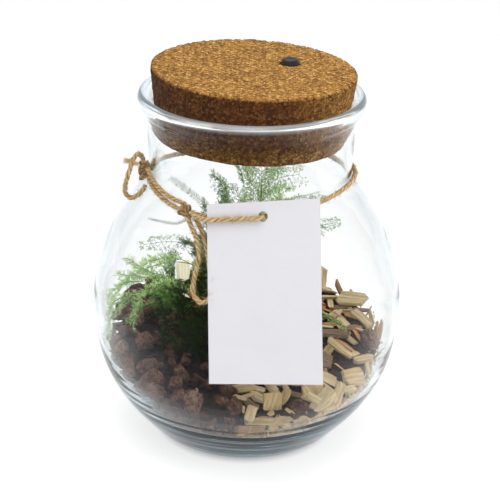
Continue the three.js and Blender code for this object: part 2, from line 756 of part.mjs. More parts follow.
// from the tag knot over the card and into its hole
const STRING_FACE = TAG_THICKNESS / 2 + TWINE_STAND;
const STRING_ROUTE = [
  new THREE.Vector3(-28, -50.4, 139.8),
  new THREE.Vector3(-25.2, -55.6, 139.6),
  new THREE.Vector3(-21.2, cardY(140) - STRING_FACE - 0.2, 139.8),
  new THREE.Vector3(-10, cardY(140.2) - STRING_FACE, 140.2),
  new THREE.Vector3(-2, cardY(140.6) - STRING_FACE, 140.6),
  new THREE.Vector3(4, cardY(141) - STRING_FACE - 0.1, 141),
  new THREE.Vector3(6.3, cardY(141.2) - STRING_FACE + 0.8, TAG_HOLE[1]),
  new THREE.Vector3(6.9, cardY(141.2) - 0.1, TAG_HOLE[1]),
];

// each length of twine and the steps its tube takes
const TWINES = [
  { name: "neck_twine", route: NECK_ROUTE, steps: 56 },
  { name: "tied_twine", route: TIED_ROUTE, steps: 7 },
  { name: "twine_loop", route: LOOP_ROUTE, steps: 18 },
  { name: "hanging_twine", route: HANGING_ROUTE, steps: 30 },
  { name: "tag_string", route: STRING_ROUTE, steps: 12 },
  { name: "frayed_end", route: FRAYED_ROUTE, steps: 4 },
];

const KNOTS = [
  { name: "neck_knot", at: NECK_KNOT, size: [7.4, 7, 13], seed: 41 },
  { name: "tag_knot", at: TAG_KNOT, size: [9.6, 8, 6.6], seed: 42 },
];

function addTwine() {
  const radius = TWINE_DIAMETER / 2;
  TWINES.forEach(({ name, route, steps }) => {
    addMesh(name, tube(route, radius, TWINE_SIDES, steps), JUTE);
  });
  const channels = TWINES.map(({ route, steps }) =>
    solid(tube(route, radius + GAP, TWINE_SIDES, steps)),
  ).reduce((all, one) => all.add(one));
  const glass = turnedOutside();
  KNOTS.forEach(({ name, at, size, seed }) => {
    const lump = solid(placed(rock(size, seed), at));
    addMesh(name, geometryOf(biggest(lump.subtract(channels).subtract(glass))), JUTE);
  });
}

// the jar's outside with its clearance, as a full body, to keep the knots off the glass
function turnedOutside() {
  const side = jarSide.map(([radius, height]) => [radius + GAP, height]);
  const profile = [[0, 0], ...side, [0, jarSide.at(-1)[1]]];
  return solid(turned(profile, JAR_SEGMENTS));
}

function makeTag() {
  const top = TAG_RIGHT_TOP[1] + 2; // a little more than the card, which is then cut out of it
  const bottom = TAG_LEFT_BOTTOM[1] - 2;
  const heights = Array.from(
    { length: TAG_STEPS + 1 },
    (_, step) => bottom + ((top - bottom) * step) / TAG_STEPS,
  );
  const half = TAG_THICKNESS / 2;
  const back = heights.map((height) => new THREE.Vector2(cardY(height) + half, height));
  const front = heights.map((height) => new THREE.Vector2(cardY(height) - half, height));
  const strip = new THREE.Shape([...back, ...front.reverse()]);
  const width = 100;
  const sheet = new THREE.ExtrudeGeometry(strip, { depth: width, bevelEnabled: false });
  // the strip is drawn in (y, z) and pushed out along x
  const alongX = new THREE.Matrix4();
  alongX.set(0, 0, 1, -width / 2, 1, 0, 0, 0, 0, 1, 0, 0, 0, 0, 0, 1);
  sheet.applyMatrix4(alongX);
  const corners = [TAG_LEFT_BOTTOM, TAG_RIGHT_BOTTOM, TAG_RIGHT_TOP, TAG_LEFT_TOP];
  const outline = new THREE.Shape(corners.map(([x, z]) => new THREE.Vector2(x, z)));
  const cutter = new THREE.ExtrudeGeometry(outline, { depth: 120, bevelEnabled: false });
  cutter.rotateX(Math.PI / 2); // its corners to (x, z), and it reaches along -Y
  const hole = new THREE.CylinderGeometry(TAG_HOLE_RADIUS, TAG_HOLE_RADIUS, 20, 20);
  hole.translate(TAG_HOLE[0], cardY(TAG_HOLE[1]), TAG_HOLE[1]);
  return geometryOf(solid(sheet).intersect(solid(cutter)).subtract(solid(hole)));
}

// ---------- the whole terrarium ----------
addMesh("glass_jar", makeJar(), GLASS);
addMesh("cork_stopper", makeCork(), CORK, stopper);
addMesh("push_button", makeButton(), BUTTON_RUBBER, stopper);
addMesh("lamp_housing", makeHousing(), LAMP_PLASTIC, stopper);
addMesh("lamp_diffuser", makeDiffuser(), DIFFUSER, stopper);
addMesh("led_board", makeBoard(), BOARD, stopper);
addMesh("tact_switch", makeSwitch(), BUTTON_RUBBER, stopper);
addMesh("coin_cell", makeCell(), STEEL, stopper);
addBed();
addMesh("fern_crown", makeCrown(), FERN);
FRONDS.forEach((frond, index) => addMesh(frond.name, makeFrond(frond, index), FERN));
addTwine();
addMesh("hang_tag", makeTag(), CARD);

export default terrarium;
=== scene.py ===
"""A closed glass terrarium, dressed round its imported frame.

A round blown jar with a flared lip, a cork stopper with the push button of a small lamp, lava rock,
wood chips, a lace fern, jute twine and a blank card tag. Sizes are in millimetres where a name or a
docstring says so and in metres in the meshes. +Z is up and the tag hangs on the -Y side.
"""

import logging
import math
from dataclasses import dataclass, field
from enum import Enum
from functools import cache, partial
from typing import Any, Sequence

import bmesh
import bpy
import numpy as np
from bpy.types import Material, Node, NodeSocket, NodeTree, Object
from mathutils import Euler, Matrix, Vector, noise
from numpy.random import Generator


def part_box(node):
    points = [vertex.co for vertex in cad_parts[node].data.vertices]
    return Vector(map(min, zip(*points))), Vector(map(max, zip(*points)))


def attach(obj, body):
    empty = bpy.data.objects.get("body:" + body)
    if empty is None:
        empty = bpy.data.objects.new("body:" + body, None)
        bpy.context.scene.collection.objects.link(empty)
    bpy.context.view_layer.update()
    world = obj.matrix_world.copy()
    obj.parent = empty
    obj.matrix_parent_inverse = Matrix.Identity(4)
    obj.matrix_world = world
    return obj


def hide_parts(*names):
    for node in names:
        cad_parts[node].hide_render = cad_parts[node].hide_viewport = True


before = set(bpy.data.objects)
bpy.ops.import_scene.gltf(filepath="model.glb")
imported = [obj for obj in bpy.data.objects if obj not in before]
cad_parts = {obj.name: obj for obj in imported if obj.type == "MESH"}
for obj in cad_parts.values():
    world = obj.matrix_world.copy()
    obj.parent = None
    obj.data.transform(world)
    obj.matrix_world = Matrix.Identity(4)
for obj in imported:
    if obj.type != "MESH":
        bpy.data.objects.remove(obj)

MM = 0.001
GLASS_CLEARANCE = 0.45  # mm that everything in the jar keeps from the glass
WHITE, BLACK = (1.0, 1.0, 1.0), (0.0, 0.0, 0.0)
log = logging.getLogger("terrarium")

Rows = np.ndarray  # one row for each place
Faces = list[tuple[int, ...]]
Colour = Place = tuple[float, float, float]
Stops = tuple[tuple[float, Colour], ...]
Span = tuple[float, ...]
Spot = tuple[Place, float]  # a middle and a size, in millimetres


# ---- curves and meshes


def spaced_curve(points: Sequence[Sequence[float]], count: int, centripetal: bool = True) -> Rows:
    """Samples a Catmull-Rom curve at even steps of its length.

    Args:
        points: The points it passes through.
        count: How many samples to return.
        centripetal: Whether the knots follow the root of the spacing, as in a 3-D route.

    Returns:
        The samples, one row each.
    """
    given = np.asarray(points, float)
    ends = np.vstack([2 * given[0] - given[1], given, 2 * given[-1] - given[-2]])
    t, power, dense = np.linspace(0, 1, 25)[:-1, None], 0.5 if centripetal else 0.0, []
    for a, b, c, d in zip(ends, ends[1:], ends[2:], ends[3:]):
        first, middle, last = (max(np.linalg.norm(q - p), 1e-9) ** power for p, q in ((a, b), (b, c), (c, d)))
        leave = ((b - a) / first - (c - a) / (first + middle) + (c - b) / middle) * middle
        arrive = ((c - b) / middle - (d - b) / (middle + last) + (d - c) / last) * middle
        near, far = (2 * t**3 - 3 * t**2 + 1) * b, (3 * t**2 - 2 * t**3) * c
        dense.append(near + (t**3 - 2 * t**2 + t) * leave + far + (t**3 - t**2) * arrive)
    line = np.vstack([*dense, given[-1:]])
    lengths = np.concatenate([[0], np.cumsum(np.linalg.norm(np.diff(line, axis=0), axis=1))])
    wanted = np.linspace(0, lengths[-1], count)
    return np.column_stack([np.interp(wanted, lengths, column) for column in line.T])


def unit(vector: Rows) -> Rows:
    """A vector of length one."""
    return vector / (np.linalg.norm(vector) + 1e-9)


def held(values: Rows) -> Rows:
    """Values held to 0 to 1."""
    return np.clip(values, 0, 1)


def painted_light_share(piece: Object) -> Rows:
    """How much each vertex faces up and forward, 0 to 1: painted light and shade on rocks and chips follow it."""
    return held(0.5 + 0.5 * (normals(piece) @ unit(np.array([0.2, -0.5, 0.85]))))


def length_of(line: Rows) -> float:
    """The length of a line of points."""
    return float(np.linalg.norm(np.diff(line, axis=0), axis=1).sum())


def linked(name: str, data: Any) -> Object:
    """Makes an object of a mesh, light or camera and puts it in the scene."""
    made = bpy.data.objects.new(name, data)
    bpy.context.scene.collection.objects.link(made)
    return made


def new_object(name: str, vertices: Rows, faces: Sequence[Any], edges: Sequence[Any] = ()) -> Object:
    """Makes a smooth shaded object at the origin.

    Args:
        name: The object's name.
        vertices: One row for each vertex, in metres.
        faces: The vertex numbers of each face.
        edges: Loose edges, for a skeleton without faces.

    Returns:
        The object.
    """
    mesh = bpy.data.meshes.new(name)
    mesh.from_pydata(np.asarray(vertices).tolist(), [list(e) for e in edges], [list(f) for f in faces])
    mesh.shade_smooth()
    return linked(name, mesh)


def coordinates(piece: Object) -> Rows:
    """A piece's vertices as rows, in metres."""
    flat = np.zeros(len(piece.data.vertices) * 3, np.float32)
    piece.data.vertices.foreach_get("co", flat)
    return flat.reshape(-1, 3).astype(float)


def normals(piece: Object) -> Rows:
    """A piece's vertex normals as rows."""
    flat = np.zeros(len(piece.data.vertices) * 3, np.float32)
    piece.data.vertex_normals.foreach_get("vector", flat)
    return flat.reshape(-1, 3).astype(float)


def move_to(piece: Object, places: Rows) -> None:
    """Gives a piece's vertices new places, in metres."""
    piece.data.vertices.foreach_set("co", np.asarray(places, np.float32).ravel())
    piece.data.update()


def store(piece: Object, name: str, values: Any) -> None:
    """Stores an attribute on a piece's vertices, in place of one of the same name.

    Args:
        piece: The piece.
        name: The attribute's name.
        values: One number for all, or a number, whole number or vector for each vertex.
    """
    attributes = piece.data.attributes
    if name in attributes:
        attributes.remove(attributes[name])
    values = np.asarray(values)
    if not values.ndim:
        values = np.full(len(piece.data.vertices), values)
    whole, vector = values.dtype.kind == "i", values.ndim > 1
    data = attributes.new(name, "INT" if whole else "FLOAT_VECTOR" if vector else "FLOAT", "POINT").data
    data.foreach_set("vector" if vector else "value", values.astype(np.int32 if whole else np.float32).ravel())


def stored(piece: Object, name: str, width: int = 1) -> Rows:
    """Reads an attribute of a piece's vertices: a number each, or a vector where the width is 3."""
    flat = np.zeros(len(piece.data.vertices) * width, np.float32)
    piece.data.attributes[name].data.foreach_get("value" if width == 1 else "vector", flat)
    return flat if width == 1 else flat.reshape(-1, width)


def lathe(profile: Rows, segments: int) -> tuple[Rows, Faces]:
    """Turns a profile about Z.

    Args:
        profile: Rows of radius and height in millimetres, with the solid on its left on the way.
        segments: How many steps the turn takes.

    Returns:
        The vertices in metres and the faces. A row on the axis becomes one vertex.
    """
    turn = np.arange(segments) * 2 * math.pi / segments
    vertices, rings, start = [], [], 0
    for radius, height in np.asarray(profile, float) * MM:
        count = 1 if radius < 1e-7 else segments
        x, y = (np.zeros(1),) * 2 if count == 1 else (radius * np.cos(turn), radius * np.sin(turn))
        vertices.append(np.column_stack([x, y, np.full(count, height)]))
        rings.append(start + np.arange(count))
        start += count
    faces = []
    for low, high in zip(rings, rings[1:]):
        for one in range(segments):
            two = (one + 1) % segments
            corners = [low[one % len(low)], low[two % len(low)], high[two % len(high)], high[one % len(high)]]
            faces.append(tuple(dict.fromkeys(int(c) for c in corners)))
    return np.vstack(vertices), [f for f in faces if len(f) > 2]


def frames_along(line: Rows) -> tuple[Rows, Rows]:
    """Two unit vectors across a line at each of its points, turned as little as possible.

    Args:
        line: The line's points.

    Returns:
        The two vectors, one row for each point.
    """
    ahead = np.gradient(line, axis=0)
    ahead /= np.linalg.norm(ahead, axis=1)[:, None]
    start = np.cross(ahead[0], [0, 0, 1] if abs(ahead[0][2]) < 0.9 else [1, 0, 0])
    across = [start / np.linalg.norm(start)]
    for direction in ahead[1:]:
        side = across[-1] - direction * (across[-1] @ direction)
        across.append(side / np.linalg.norm(side))
    first = np.array(across)
    return first, np.cross(ahead, first)


def tube_faces(rings: int, sides: int) -> Faces:
    """The faces of a tube of rings, closed at each end round a middle vertex.

    Args:
        rings: How many rings it has.
        sides: How many vertices each ring has.

    Returns:
        The faces. The two middles are numbered after the rings.
    """
    count = rings * sides
    pairs = [(one, (one + 1) % sides) for one in range(sides)]
    faces: Faces = []
    for base in range(0, count - sides, sides):
        faces += [(base + one, base + two, base + sides + two, base + sides + one) for one, two in pairs]
    for one, two in pairs:
        faces += [(count, two, one), (count + 1, count - sides + one, count - sides + two)]
    return faces


def sweep(line: Rows, outline: Rows, twist: Rows, scale: Rows) -> tuple[Rows, Faces]:
    """Runs a closed outline along a line and closes both ends.

    Args:
        line: The line's points, in metres.
        outline: The outline's points about the line, in metres.
        twist: The outline's turn at each point, in radians.
        scale: The outline's scale at each point.

    Returns:
        The vertices and the faces.
    """
    first, second = frames_along(line)
    cos, sin = np.cos(twist)[:, None], np.sin(twist)[:, None]
    x = (outline[:, 0] * cos - outline[:, 1] * sin) * scale[:, None]
    y = (outline[:, 0] * sin + outline[:, 1] * cos) * scale[:, None]
    rows = line[:, None] + x[..., None] * first[:, None] + y[..., None] * second[:, None]
    return np.vstack([rows.reshape(-1, 3), line[:1], line[-1:]]), tube_faces(len(line), len(outline))


def remade(node: str, name: str, voxel: float) -> Object:
    """Copies a frame node's mesh and rebuilds the copy of even quads.

    Args:
        node: The frame node.
        name: The copy's name.
        voxel: The quads' size, in millimetres.

    Returns:
        The copy, smooth shaded.
    """
    merged, mesh = bmesh.new(), bpy.data.meshes.new(name)
    merged.from_mesh(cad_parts[node].data)
    bmesh.ops.remove_doubles(merged, verts=merged.verts, dist=1e-6)
    merged.to_mesh(mesh)
    merged.free()
    host = linked(name, mesh)
    step = host.modifiers.new("even", "REMESH")
    step.mode, step.voxel_size, step.adaptivity = "VOXEL", voxel * MM, 0
    made = baked(host)
    made.data.shade_smooth()
    return made


def baked(host: Object) -> Object:
    """Turns an object and its modifiers into a plain mesh.

    Args:
        host: The object. It is used up.

    Returns:
        The result, an object of the same name.
    """
    bpy.context.view_layer.update()
    mesh = bpy.data.meshes.new_from_object(host.evaluated_get(bpy.context.evaluated_depsgraph_get()))
    name = host.name
    bpy.data.objects.remove(host)
    return linked(name, mesh)


def fractal(points: Rows, frequency: float, octaves: int = 3) -> Rows:
    """Layered noise, about -1 to 1, at each of some points of any unit."""
    return np.array([noise.fractal(Vector(p) * frequency, 1.0, 2.0, octaves) for p in points])


def cell_distance(points: Rows, frequency: float) -> Rows:
    """The distance to the nearest of many scattered centres, in units of their spacing."""
    return np.array([noise.voronoi(Vector(p) * frequency)[0][0] for p in points])


def joined(parts: list[Object], name: str) -> Object:
    """Joins objects into one.

    Args:
        parts: The objects. They are used up.
        name: The result's name.

    Returns:
        The result.
    """
    first = parts[0]
    chosen = {"active_object": first, "object": first, "selected_editable_objects": parts, "selected_objects": parts}
    with bpy.context.temp_override(**chosen):
        bpy.ops.object.join()
    first.name = name
    return first


# ---- node trees


class Nodes:
    """Adds and links the nodes of one tree. A value is a number, a colour, a vector or a socket."""

    def __init__(self, tree: NodeTree) -> None:
        """Starts on a tree."""
        self.tree = tree

    def feed(self, node: Node, inputs: dict[Any, Any]) -> None:
        """Gives a node's inputs their values.

        Args:
            node: The node.
            inputs: Each value, by the input's name or number.
        """
        for key, value in inputs.items():
            if isinstance(value, NodeSocket):
                self.tree.links.new(value, node.inputs[key])
            else:
                node.inputs[key].default_value = value

    def add(self, kind: str, inputs: dict[Any, Any] | None = None, **settings: Any) -> Node:
        """Adds a node.

        Args:
            kind: The node's type.
            inputs: Values for its inputs, by name or number.
            settings: Its own settings.

        Returns:
            The node.
        """
        node = self.tree.nodes.new(kind)
        for key, value in settings.items():
            setattr(node, key, value)
        self.feed(node, inputs or {})
        return node

    def mix(self, factor: Any, first: Any, second: Any, blend: str = "MIX") -> NodeSocket:
        """Mixes two colours, given as sockets or as red, green and blue."""
        one, two = (v if isinstance(v, NodeSocket) else (*v, 1.0) for v in (first, second))
        return self.add("ShaderNodeMix", {0: factor, 6: one, 7: two}, data_type="RGBA", blend_type=blend).outputs[2]

    def math(self, operation: str, first: Any, second: Any) -> NodeSocket:
        """Combines two numbers."""
        return self.add("ShaderNodeMath", {0: first, 1: second}, operation=operation).outputs[0]

    def between(self, value: Any, low: Any, high: Any, to_low: float = 0.0, to_high: float = 1.0) -> NodeSocket:
        """Maps a range onto another one, held at its ends."""
        inputs = {"Value": value, "From Min": low, "From Max": high, "To Min": to_low, "To Max": to_high}
        return self.add("ShaderNodeMapRange", inputs).outputs[0]

    def ramp(self, factor: Any, stops: Stops) -> NodeSocket:
        """Reads a colour off a ramp.

        Args:
            factor: Where on the ramp, 0 to 1.
            stops: Each stop's place and colour.

        Returns:
            The colour.
        """
        node = self.add("ShaderNodeValToRGB", {0: factor})
        elements = node.color_ramp.elements
        while len(elements) < len(stops):
            elements.new(0.5)
        for element, (position, colour) in zip(elements, stops):
            element.position, element.color = position, (*colour, 1.0)
        return node.outputs[0]

    def attribute(self, name: str, output: str = "Fac") -> NodeSocket:
        """Reads a piece's own attribute."""
        return self.add("ShaderNodeAttribute", attribute_name=name).outputs[output]


class Effect(Enum):
    """The shared shader groups, each one kind of surface effect."""

    MOTTLE = "Mottle"
    GRAINS = "Grains"
    FIBRES = "Fibres"

    def group(self) -> NodeTree:
        """The effect's node group, built the first time that it is asked for."""
        builders = {Effect.MOTTLE: mottle_group, Effect.GRAINS: grains_group, Effect.FIBRES: fibres_group}
        return bpy.data.node_groups.get(self.value) or builders[self]()


def shader_group(effect: Effect, numbers: dict[str, float], *outputs: str) -> tuple[Nodes, list[NodeSocket], Node]:
    """Starts a shader group.

    Args:
        effect: The effect that it gives.
        numbers: Its inputs after the vector, with their default values.
        outputs: The names of its outputs, all numbers.

    Returns:
        The tree's nodes, its inputs and its output node.
    """
    tree = bpy.data.node_groups.new(effect.value, "ShaderNodeTree")
    tree.interface.new_socket("Vector", in_out="INPUT", socket_type="NodeSocketVector")
    for label, value in numbers.items():
        tree.interface.new_socket(label, in_out="INPUT", socket_type="NodeSocketFloat").default_value = value
    for label in outputs:
        tree.interface.new_socket(label, in_out="OUTPUT", socket_type="NodeSocketFloat")
    nodes = Nodes(tree)
    return nodes, list(nodes.add("NodeGroupInput").outputs)[:3], nodes.add("NodeGroupOutput")


def mottle_group() -> NodeTree:
    """Builds the group for uneven tone: broad patches with finer ones in them.

    Returns:
        The group.
    """
    nodes, (vector, scale, spread), result = shader_group(Effect.MOTTLE, {"Scale": 100.0, "Spread": 0.3}, "Mask")
    broad = nodes.add("ShaderNodeTexNoise", {"Vector": vector, "Scale": scale, "Detail": 6.0, "Roughness": 0.65})
    low, high = nodes.math("SUBTRACT", 0.5, spread), nodes.math("ADD", 0.5, spread)
    nodes.feed(result, {"Mask": nodes.between(broad.outputs[0], low, high)})
    return nodes.tree


def grains_group() -> NodeTree:
    """Builds the group for pressed grains or pores: a tone for each grain, its rim and its height.

    Returns:
        The group.
    """
    numbers = {"Scale": 500.0, "Wobble": 0.001}
    nodes, (vector, scale, wobble), result = shader_group(Effect.GRAINS, numbers, "Tone", "Rim", "Height")
    jitter = nodes.add("ShaderNodeTexNoise", {"Vector": vector, "Scale": scale, "Detail": 2.0}).outputs["Color"]
    centred = nodes.add("ShaderNodeVectorMath", {0: jitter, 1: (0.5, 0.5, 0.5)}, operation="SUBTRACT").outputs[0]
    shift = nodes.add("ShaderNodeVectorMath", {0: centred, "Scale": wobble}, operation="SCALE").outputs[0]
    moved = nodes.add("ShaderNodeVectorMath", {0: vector, 1: shift}, operation="ADD").outputs[0]
    cells = nodes.add("ShaderNodeTexVoronoi", {"Vector": moved, "Scale": scale}).outputs
    tone = nodes.add("ShaderNodeSeparateColor", {0: cells["Color"]}).outputs[0]
    rim, height = nodes.between(cells["Distance"], 0.35, 0.75), nodes.math("SUBTRACT", 1.0, cells["Distance"])
    nodes.feed(result, {"Tone": tone, "Rim": rim, "Height": height})
    return nodes.tree


def fibres_group() -> NodeTree:
    """Builds the group for fibres: noise drawn out along one axis of the vector that it is given.

    Returns:
        The group.
    """
    numbers = {"Along": 60.0, "Across": 2500.0}
    nodes, (vector, along, across), result = shader_group(Effect.FIBRES, numbers, "Mask", "Height")
    scale = nodes.add("ShaderNodeCombineXYZ", {0: along, 1: across, 2: across}).outputs[0]
    drawn = nodes.add("ShaderNodeVectorMath", {0: vector, 1: scale}, operation="MULTIPLY").outputs[0]
    inputs = {"Vector": drawn, "Scale": 1.0, "Detail": 5.0, "Roughness": 0.7}
    strands = nodes.add("ShaderNodeTexNoise", inputs).outputs[0]
    nodes.feed(result, {"Mask": nodes.between(strands, 0.3, 0.7), "Height": strands})
    return nodes.tree


class Surface(Nodes):
    """A material's tree: a Principled shader, with colour and relief from other nodes."""

    def __init__(self, name: str, **values: Any) -> None:
        """Starts a material.

        Args:
            name: The material's name.
            values: Plain values for the shader's sockets, with _ for each space of a socket's name.
        """
        self.material = bpy.data.materials.new(name)
        self.material.use_nodes = True
        super().__init__(self.material.node_tree)
        self.tree.nodes.clear()
        self.shader = self.add("ShaderNodeBsdfPrincipled", {k.replace("_", " "): v for k, v in values.items()})
        self.output = self.add("ShaderNodeOutputMaterial", {"Surface": self.shader.outputs[0]})
        self.place = self.add("ShaderNodeTexCoord").outputs["Object"]

    def effect(self, effect: Effect, vector: Any = None, **values: float) -> dict[str, NodeSocket]:
        """Places a shared effect with its own values and returns its outputs by name."""
        inputs = {"Vector": self.place if vector is None else vector, **values}
        outputs = self.add("ShaderNodeGroup", inputs, node_tree=effect.group()).outputs
        return {socket.name: socket for socket in outputs}

    def paint(self, socket: str, value: NodeSocket) -> None:
        """Feeds one of the shader's sockets."""
        self.feed(self.shader, {socket: value})

    def relief(self, height: NodeSocket, depth: float, strength: float = 1.0) -> None:
        """Feeds the normal with a bump of a relief from 0 to 1, its depth in millimetres."""
        bump = self.add("ShaderNodeBump", {"Height": height, "Distance": depth * MM, "Strength": strength})
        self.paint("Normal", bump.outputs[0])


class GeometryTree(Nodes):
    """A Geometry Nodes tree with named inputs, run on a host object."""

    def __init__(self, name: str, **inputs: str) -> None:
        """Starts a tree.

        Args:
            name: The tree's name.
            inputs: The kind of each named input, between the geometry and the material.
        """
        tree = bpy.data.node_groups.new(name, "GeometryNodeTree")
        for label, kind in {"Geometry": "Geometry", **inputs, "Material": "Material"}.items():
            tree.interface.new_socket(label, in_out="INPUT", socket_type=f"NodeSocket{kind}")
        tree.interface.new_socket("Geometry", in_out="OUTPUT", socket_type="NodeSocketGeometry")
        super().__init__(tree)
        self.given = self.add("NodeGroupInput").outputs
        self.result = self.add("NodeGroupOutput")

    def named(self, name: str, kind: str) -> NodeSocket:
        """Reads an attribute of the geometry."""
        return self.add("GeometryNodeInputNamedAttribute", {"Name": name}, data_type=kind).outputs["Attribute"]

    def instance(self, points: NodeSocket, shapes: str, pick: NodeSocket, turn: NodeSocket, scale: NodeSocket) -> None:
        """Puts one of a collection's shapes on each point and ends the tree with them.

        Args:
            points: The points.
            shapes: The input that holds the collection.
            pick: The number of each point's shape.
            turn: Its turn.
            scale: Its size.
        """
        inputs = {"Collection": self.given[shapes], "Separate Children": True, "Reset Children": True}
        chosen = self.add("GeometryNodeCollectionInfo", inputs).outputs[0]
        inputs = {"Points": points, "Instance": chosen, "Pick Instance": True, "Instance Index": pick}
        inputs |= {"Rotation": turn, "Scale": scale}
        self.close(self.add("GeometryNodeInstanceOnPoints", inputs).outputs[0])

    def close(self, geometry: NodeSocket) -> None:
        """Ends the tree in Realize Instances and Set Material."""
        real = self.add("GeometryNodeRealizeInstances", {"Geometry": geometry}).outputs[0]
        dressed = self.add("GeometryNodeSetMaterial", {"Geometry": real, "Material": self.given["Material"]})
        self.feed(self.result, {0: dressed.outputs[0]})

    def run(self, host: Object, **values: Any) -> Object:
        """Applies the tree to a host.

        Args:
            host: The object whose mesh goes in. It is used up.
            values: The named inputs.

        Returns:
            The result, as a plain mesh object of the host's name.
        """
        step = host.modifiers.new(self.tree.name, "NODES")
        step.node_group = self.tree
        identifiers = {s.name: s.identifier for s in self.tree.interface.items_tree if s.in_out == "INPUT"}
        for key, value in values.items():
            step[identifiers[key]] = value
        return baked(host)


def scatter_tree() -> GeometryTree:
    """Builds the tree that puts one of several shapes on each point, by the point's own attributes.

    Returns:
        The tree.
    """
    tree = GeometryTree("Scatter", Shapes="Collection", Scale="Float")
    turn = tree.add("FunctionNodeEulerToRotation", {0: tree.named("spin", "FLOAT_VECTOR")}).outputs[0]
    inputs = {0: tree.named("size", "FLOAT_VECTOR"), "Scale": tree.given["Scale"]}
    size = tree.add("ShaderNodeVectorMath", inputs, operation="SCALE").outputs[0]
    tree.instance(tree.given["Geometry"], "Shapes", tree.named("pick", "INT"), turn, size)
    return tree


def stem_tree() -> GeometryTree:
    """Builds the tree that turns a skeleton of edges into round stems of the thickness that it stores.

    Returns:
        The tree.
    """
    tree = GeometryTree("Stems", Sides="Int", Thickness="Float")
    curve = tree.add("GeometryNodeMeshToCurve", {"Mesh": tree.given["Geometry"]}).outputs[0]
    radius = tree.math("MULTIPLY", tree.named("thick", "FLOAT"), tree.given["Thickness"])
    sized = tree.add("GeometryNodeSetCurveRadius", {"Curve": curve, "Radius": radius}).outputs[0]
    ring = tree.add("GeometryNodeCurvePrimitiveCircle", {"Resolution": tree.given["Sides"], "Radius": 1.0}).outputs[0]
    skin = tree.add("GeometryNodeCurveToMesh", {"Curve": sized, "Profile Curve": ring, "Fill Caps": True})
    if "Scale" in skin.inputs:
        tree.feed(skin, {"Scale": radius})
    tree.close(skin.outputs[0])
    return tree


def fuzz_tree() -> GeometryTree:
    """Builds the tree that sets loose hairs on a surface, at random from its seed.

    Returns:
        The tree.
    """
    tree = GeometryTree("Fuzz", Hairs="Collection", Density="Float", Length="Float", Seed="Int")
    seed, lean = tree.given["Seed"], 1.15  # radians that a hair may lean
    inputs = {"Mesh": tree.given["Geometry"], "Density": tree.given["Density"], "Seed": seed}
    points = tree.add("GeometryNodeDistributePointsOnFaces", inputs).outputs
    inputs = {0: (-lean, -lean, -math.pi), 1: (lean, lean, math.pi), "Seed": seed}
    tilt = tree.add("FunctionNodeRandomValue", inputs, data_type="FLOAT_VECTOR").outputs[0]
    inputs = {0: points["Rotation"], 1: tilt}
    turned = tree.add("FunctionNodeRotateRotation", inputs, rotation_space="LOCAL").outputs[0]
    reach = tree.add("FunctionNodeRandomValue", {2: 0.25, 3: 1.0, "Seed": seed}, data_type="FLOAT").outputs[1]
    pick = tree.add("FunctionNodeRandomValue", {4: 0, 5: 5, "Seed": seed}, data_type="INT").outputs[2]
    tree.instance(points[0], "Hairs", pick, turned, tree.math("MULTIPLY", reach, tree.given["Length"]))
    return tree


@dataclass
class Shapes:
    """A set of small shapes that a tree picks from, kept out of the scene."""

    name: str
    made: list[Object] = field(default_factory=list)
    collection: bpy.types.Collection | None = None

    def add(self, vertices: Rows, faces: Sequence[Sequence[int]], smooth: bool = True) -> None:
        """Adds a shape about the origin.

        Args:
            vertices: Its vertices, which it also stores as the attribute local.
            faces: Its faces.
            smooth: Whether it is smooth shaded.
        """
        if self.collection is None:
            self.collection = bpy.data.collections.new(self.name)
        shape = new_object(f"{self.name}_{len(self.made):02d}", vertices, faces)
        if not smooth:
            shape.data.shade_flat()
        store(shape, "local", vertices)
        bpy.context.scene.collection.objects.unlink(shape)
        self.collection.objects.link(shape)
        self.made.append(shape)

    def clear(self) -> None:
        """Removes the shapes, which live on only in what was made of them."""
        for shape in self.made:
            bpy.data.objects.remove(shape)
        bpy.data.collections.remove(self.collection)


@dataclass
class Scatter:
    """Points that each hold a shape: its place, turns, size, number and tone."""

    rows: list[tuple[Any, ...]] = field(default_factory=list)

    def put(self, place: Sequence[float], spin: Sequence[float], size: Sequence[float], pick: int, tone: float) -> None:
        """Adds one, with its place in millimetres, its turns in radians and its size in millimetres."""
        self.rows.append((place, spin, size, pick, tone))

    def grown(self, name: str, tree: GeometryTree, shapes: Shapes, material: Material) -> Object:
        """Turns the points into one mesh.

        Args:
            name: The piece's name.
            tree: The scatter tree.
            shapes: The shapes that the points pick from, of about unit size.
            material: The finish of the result.

        Returns:
            The piece.
        """
        places, *columns = zip(*self.rows)
        host = new_object(name, np.asarray(places) * MM, [])
        for label, column, kind in zip(("spin", "size", "pick", "tone"), columns, (float, float, int, float)):
            store(host, label, np.asarray(column, kind))
        return tree.run(host, Shapes=shapes.collection, Scale=MM, Material=material)


# ---- finishes


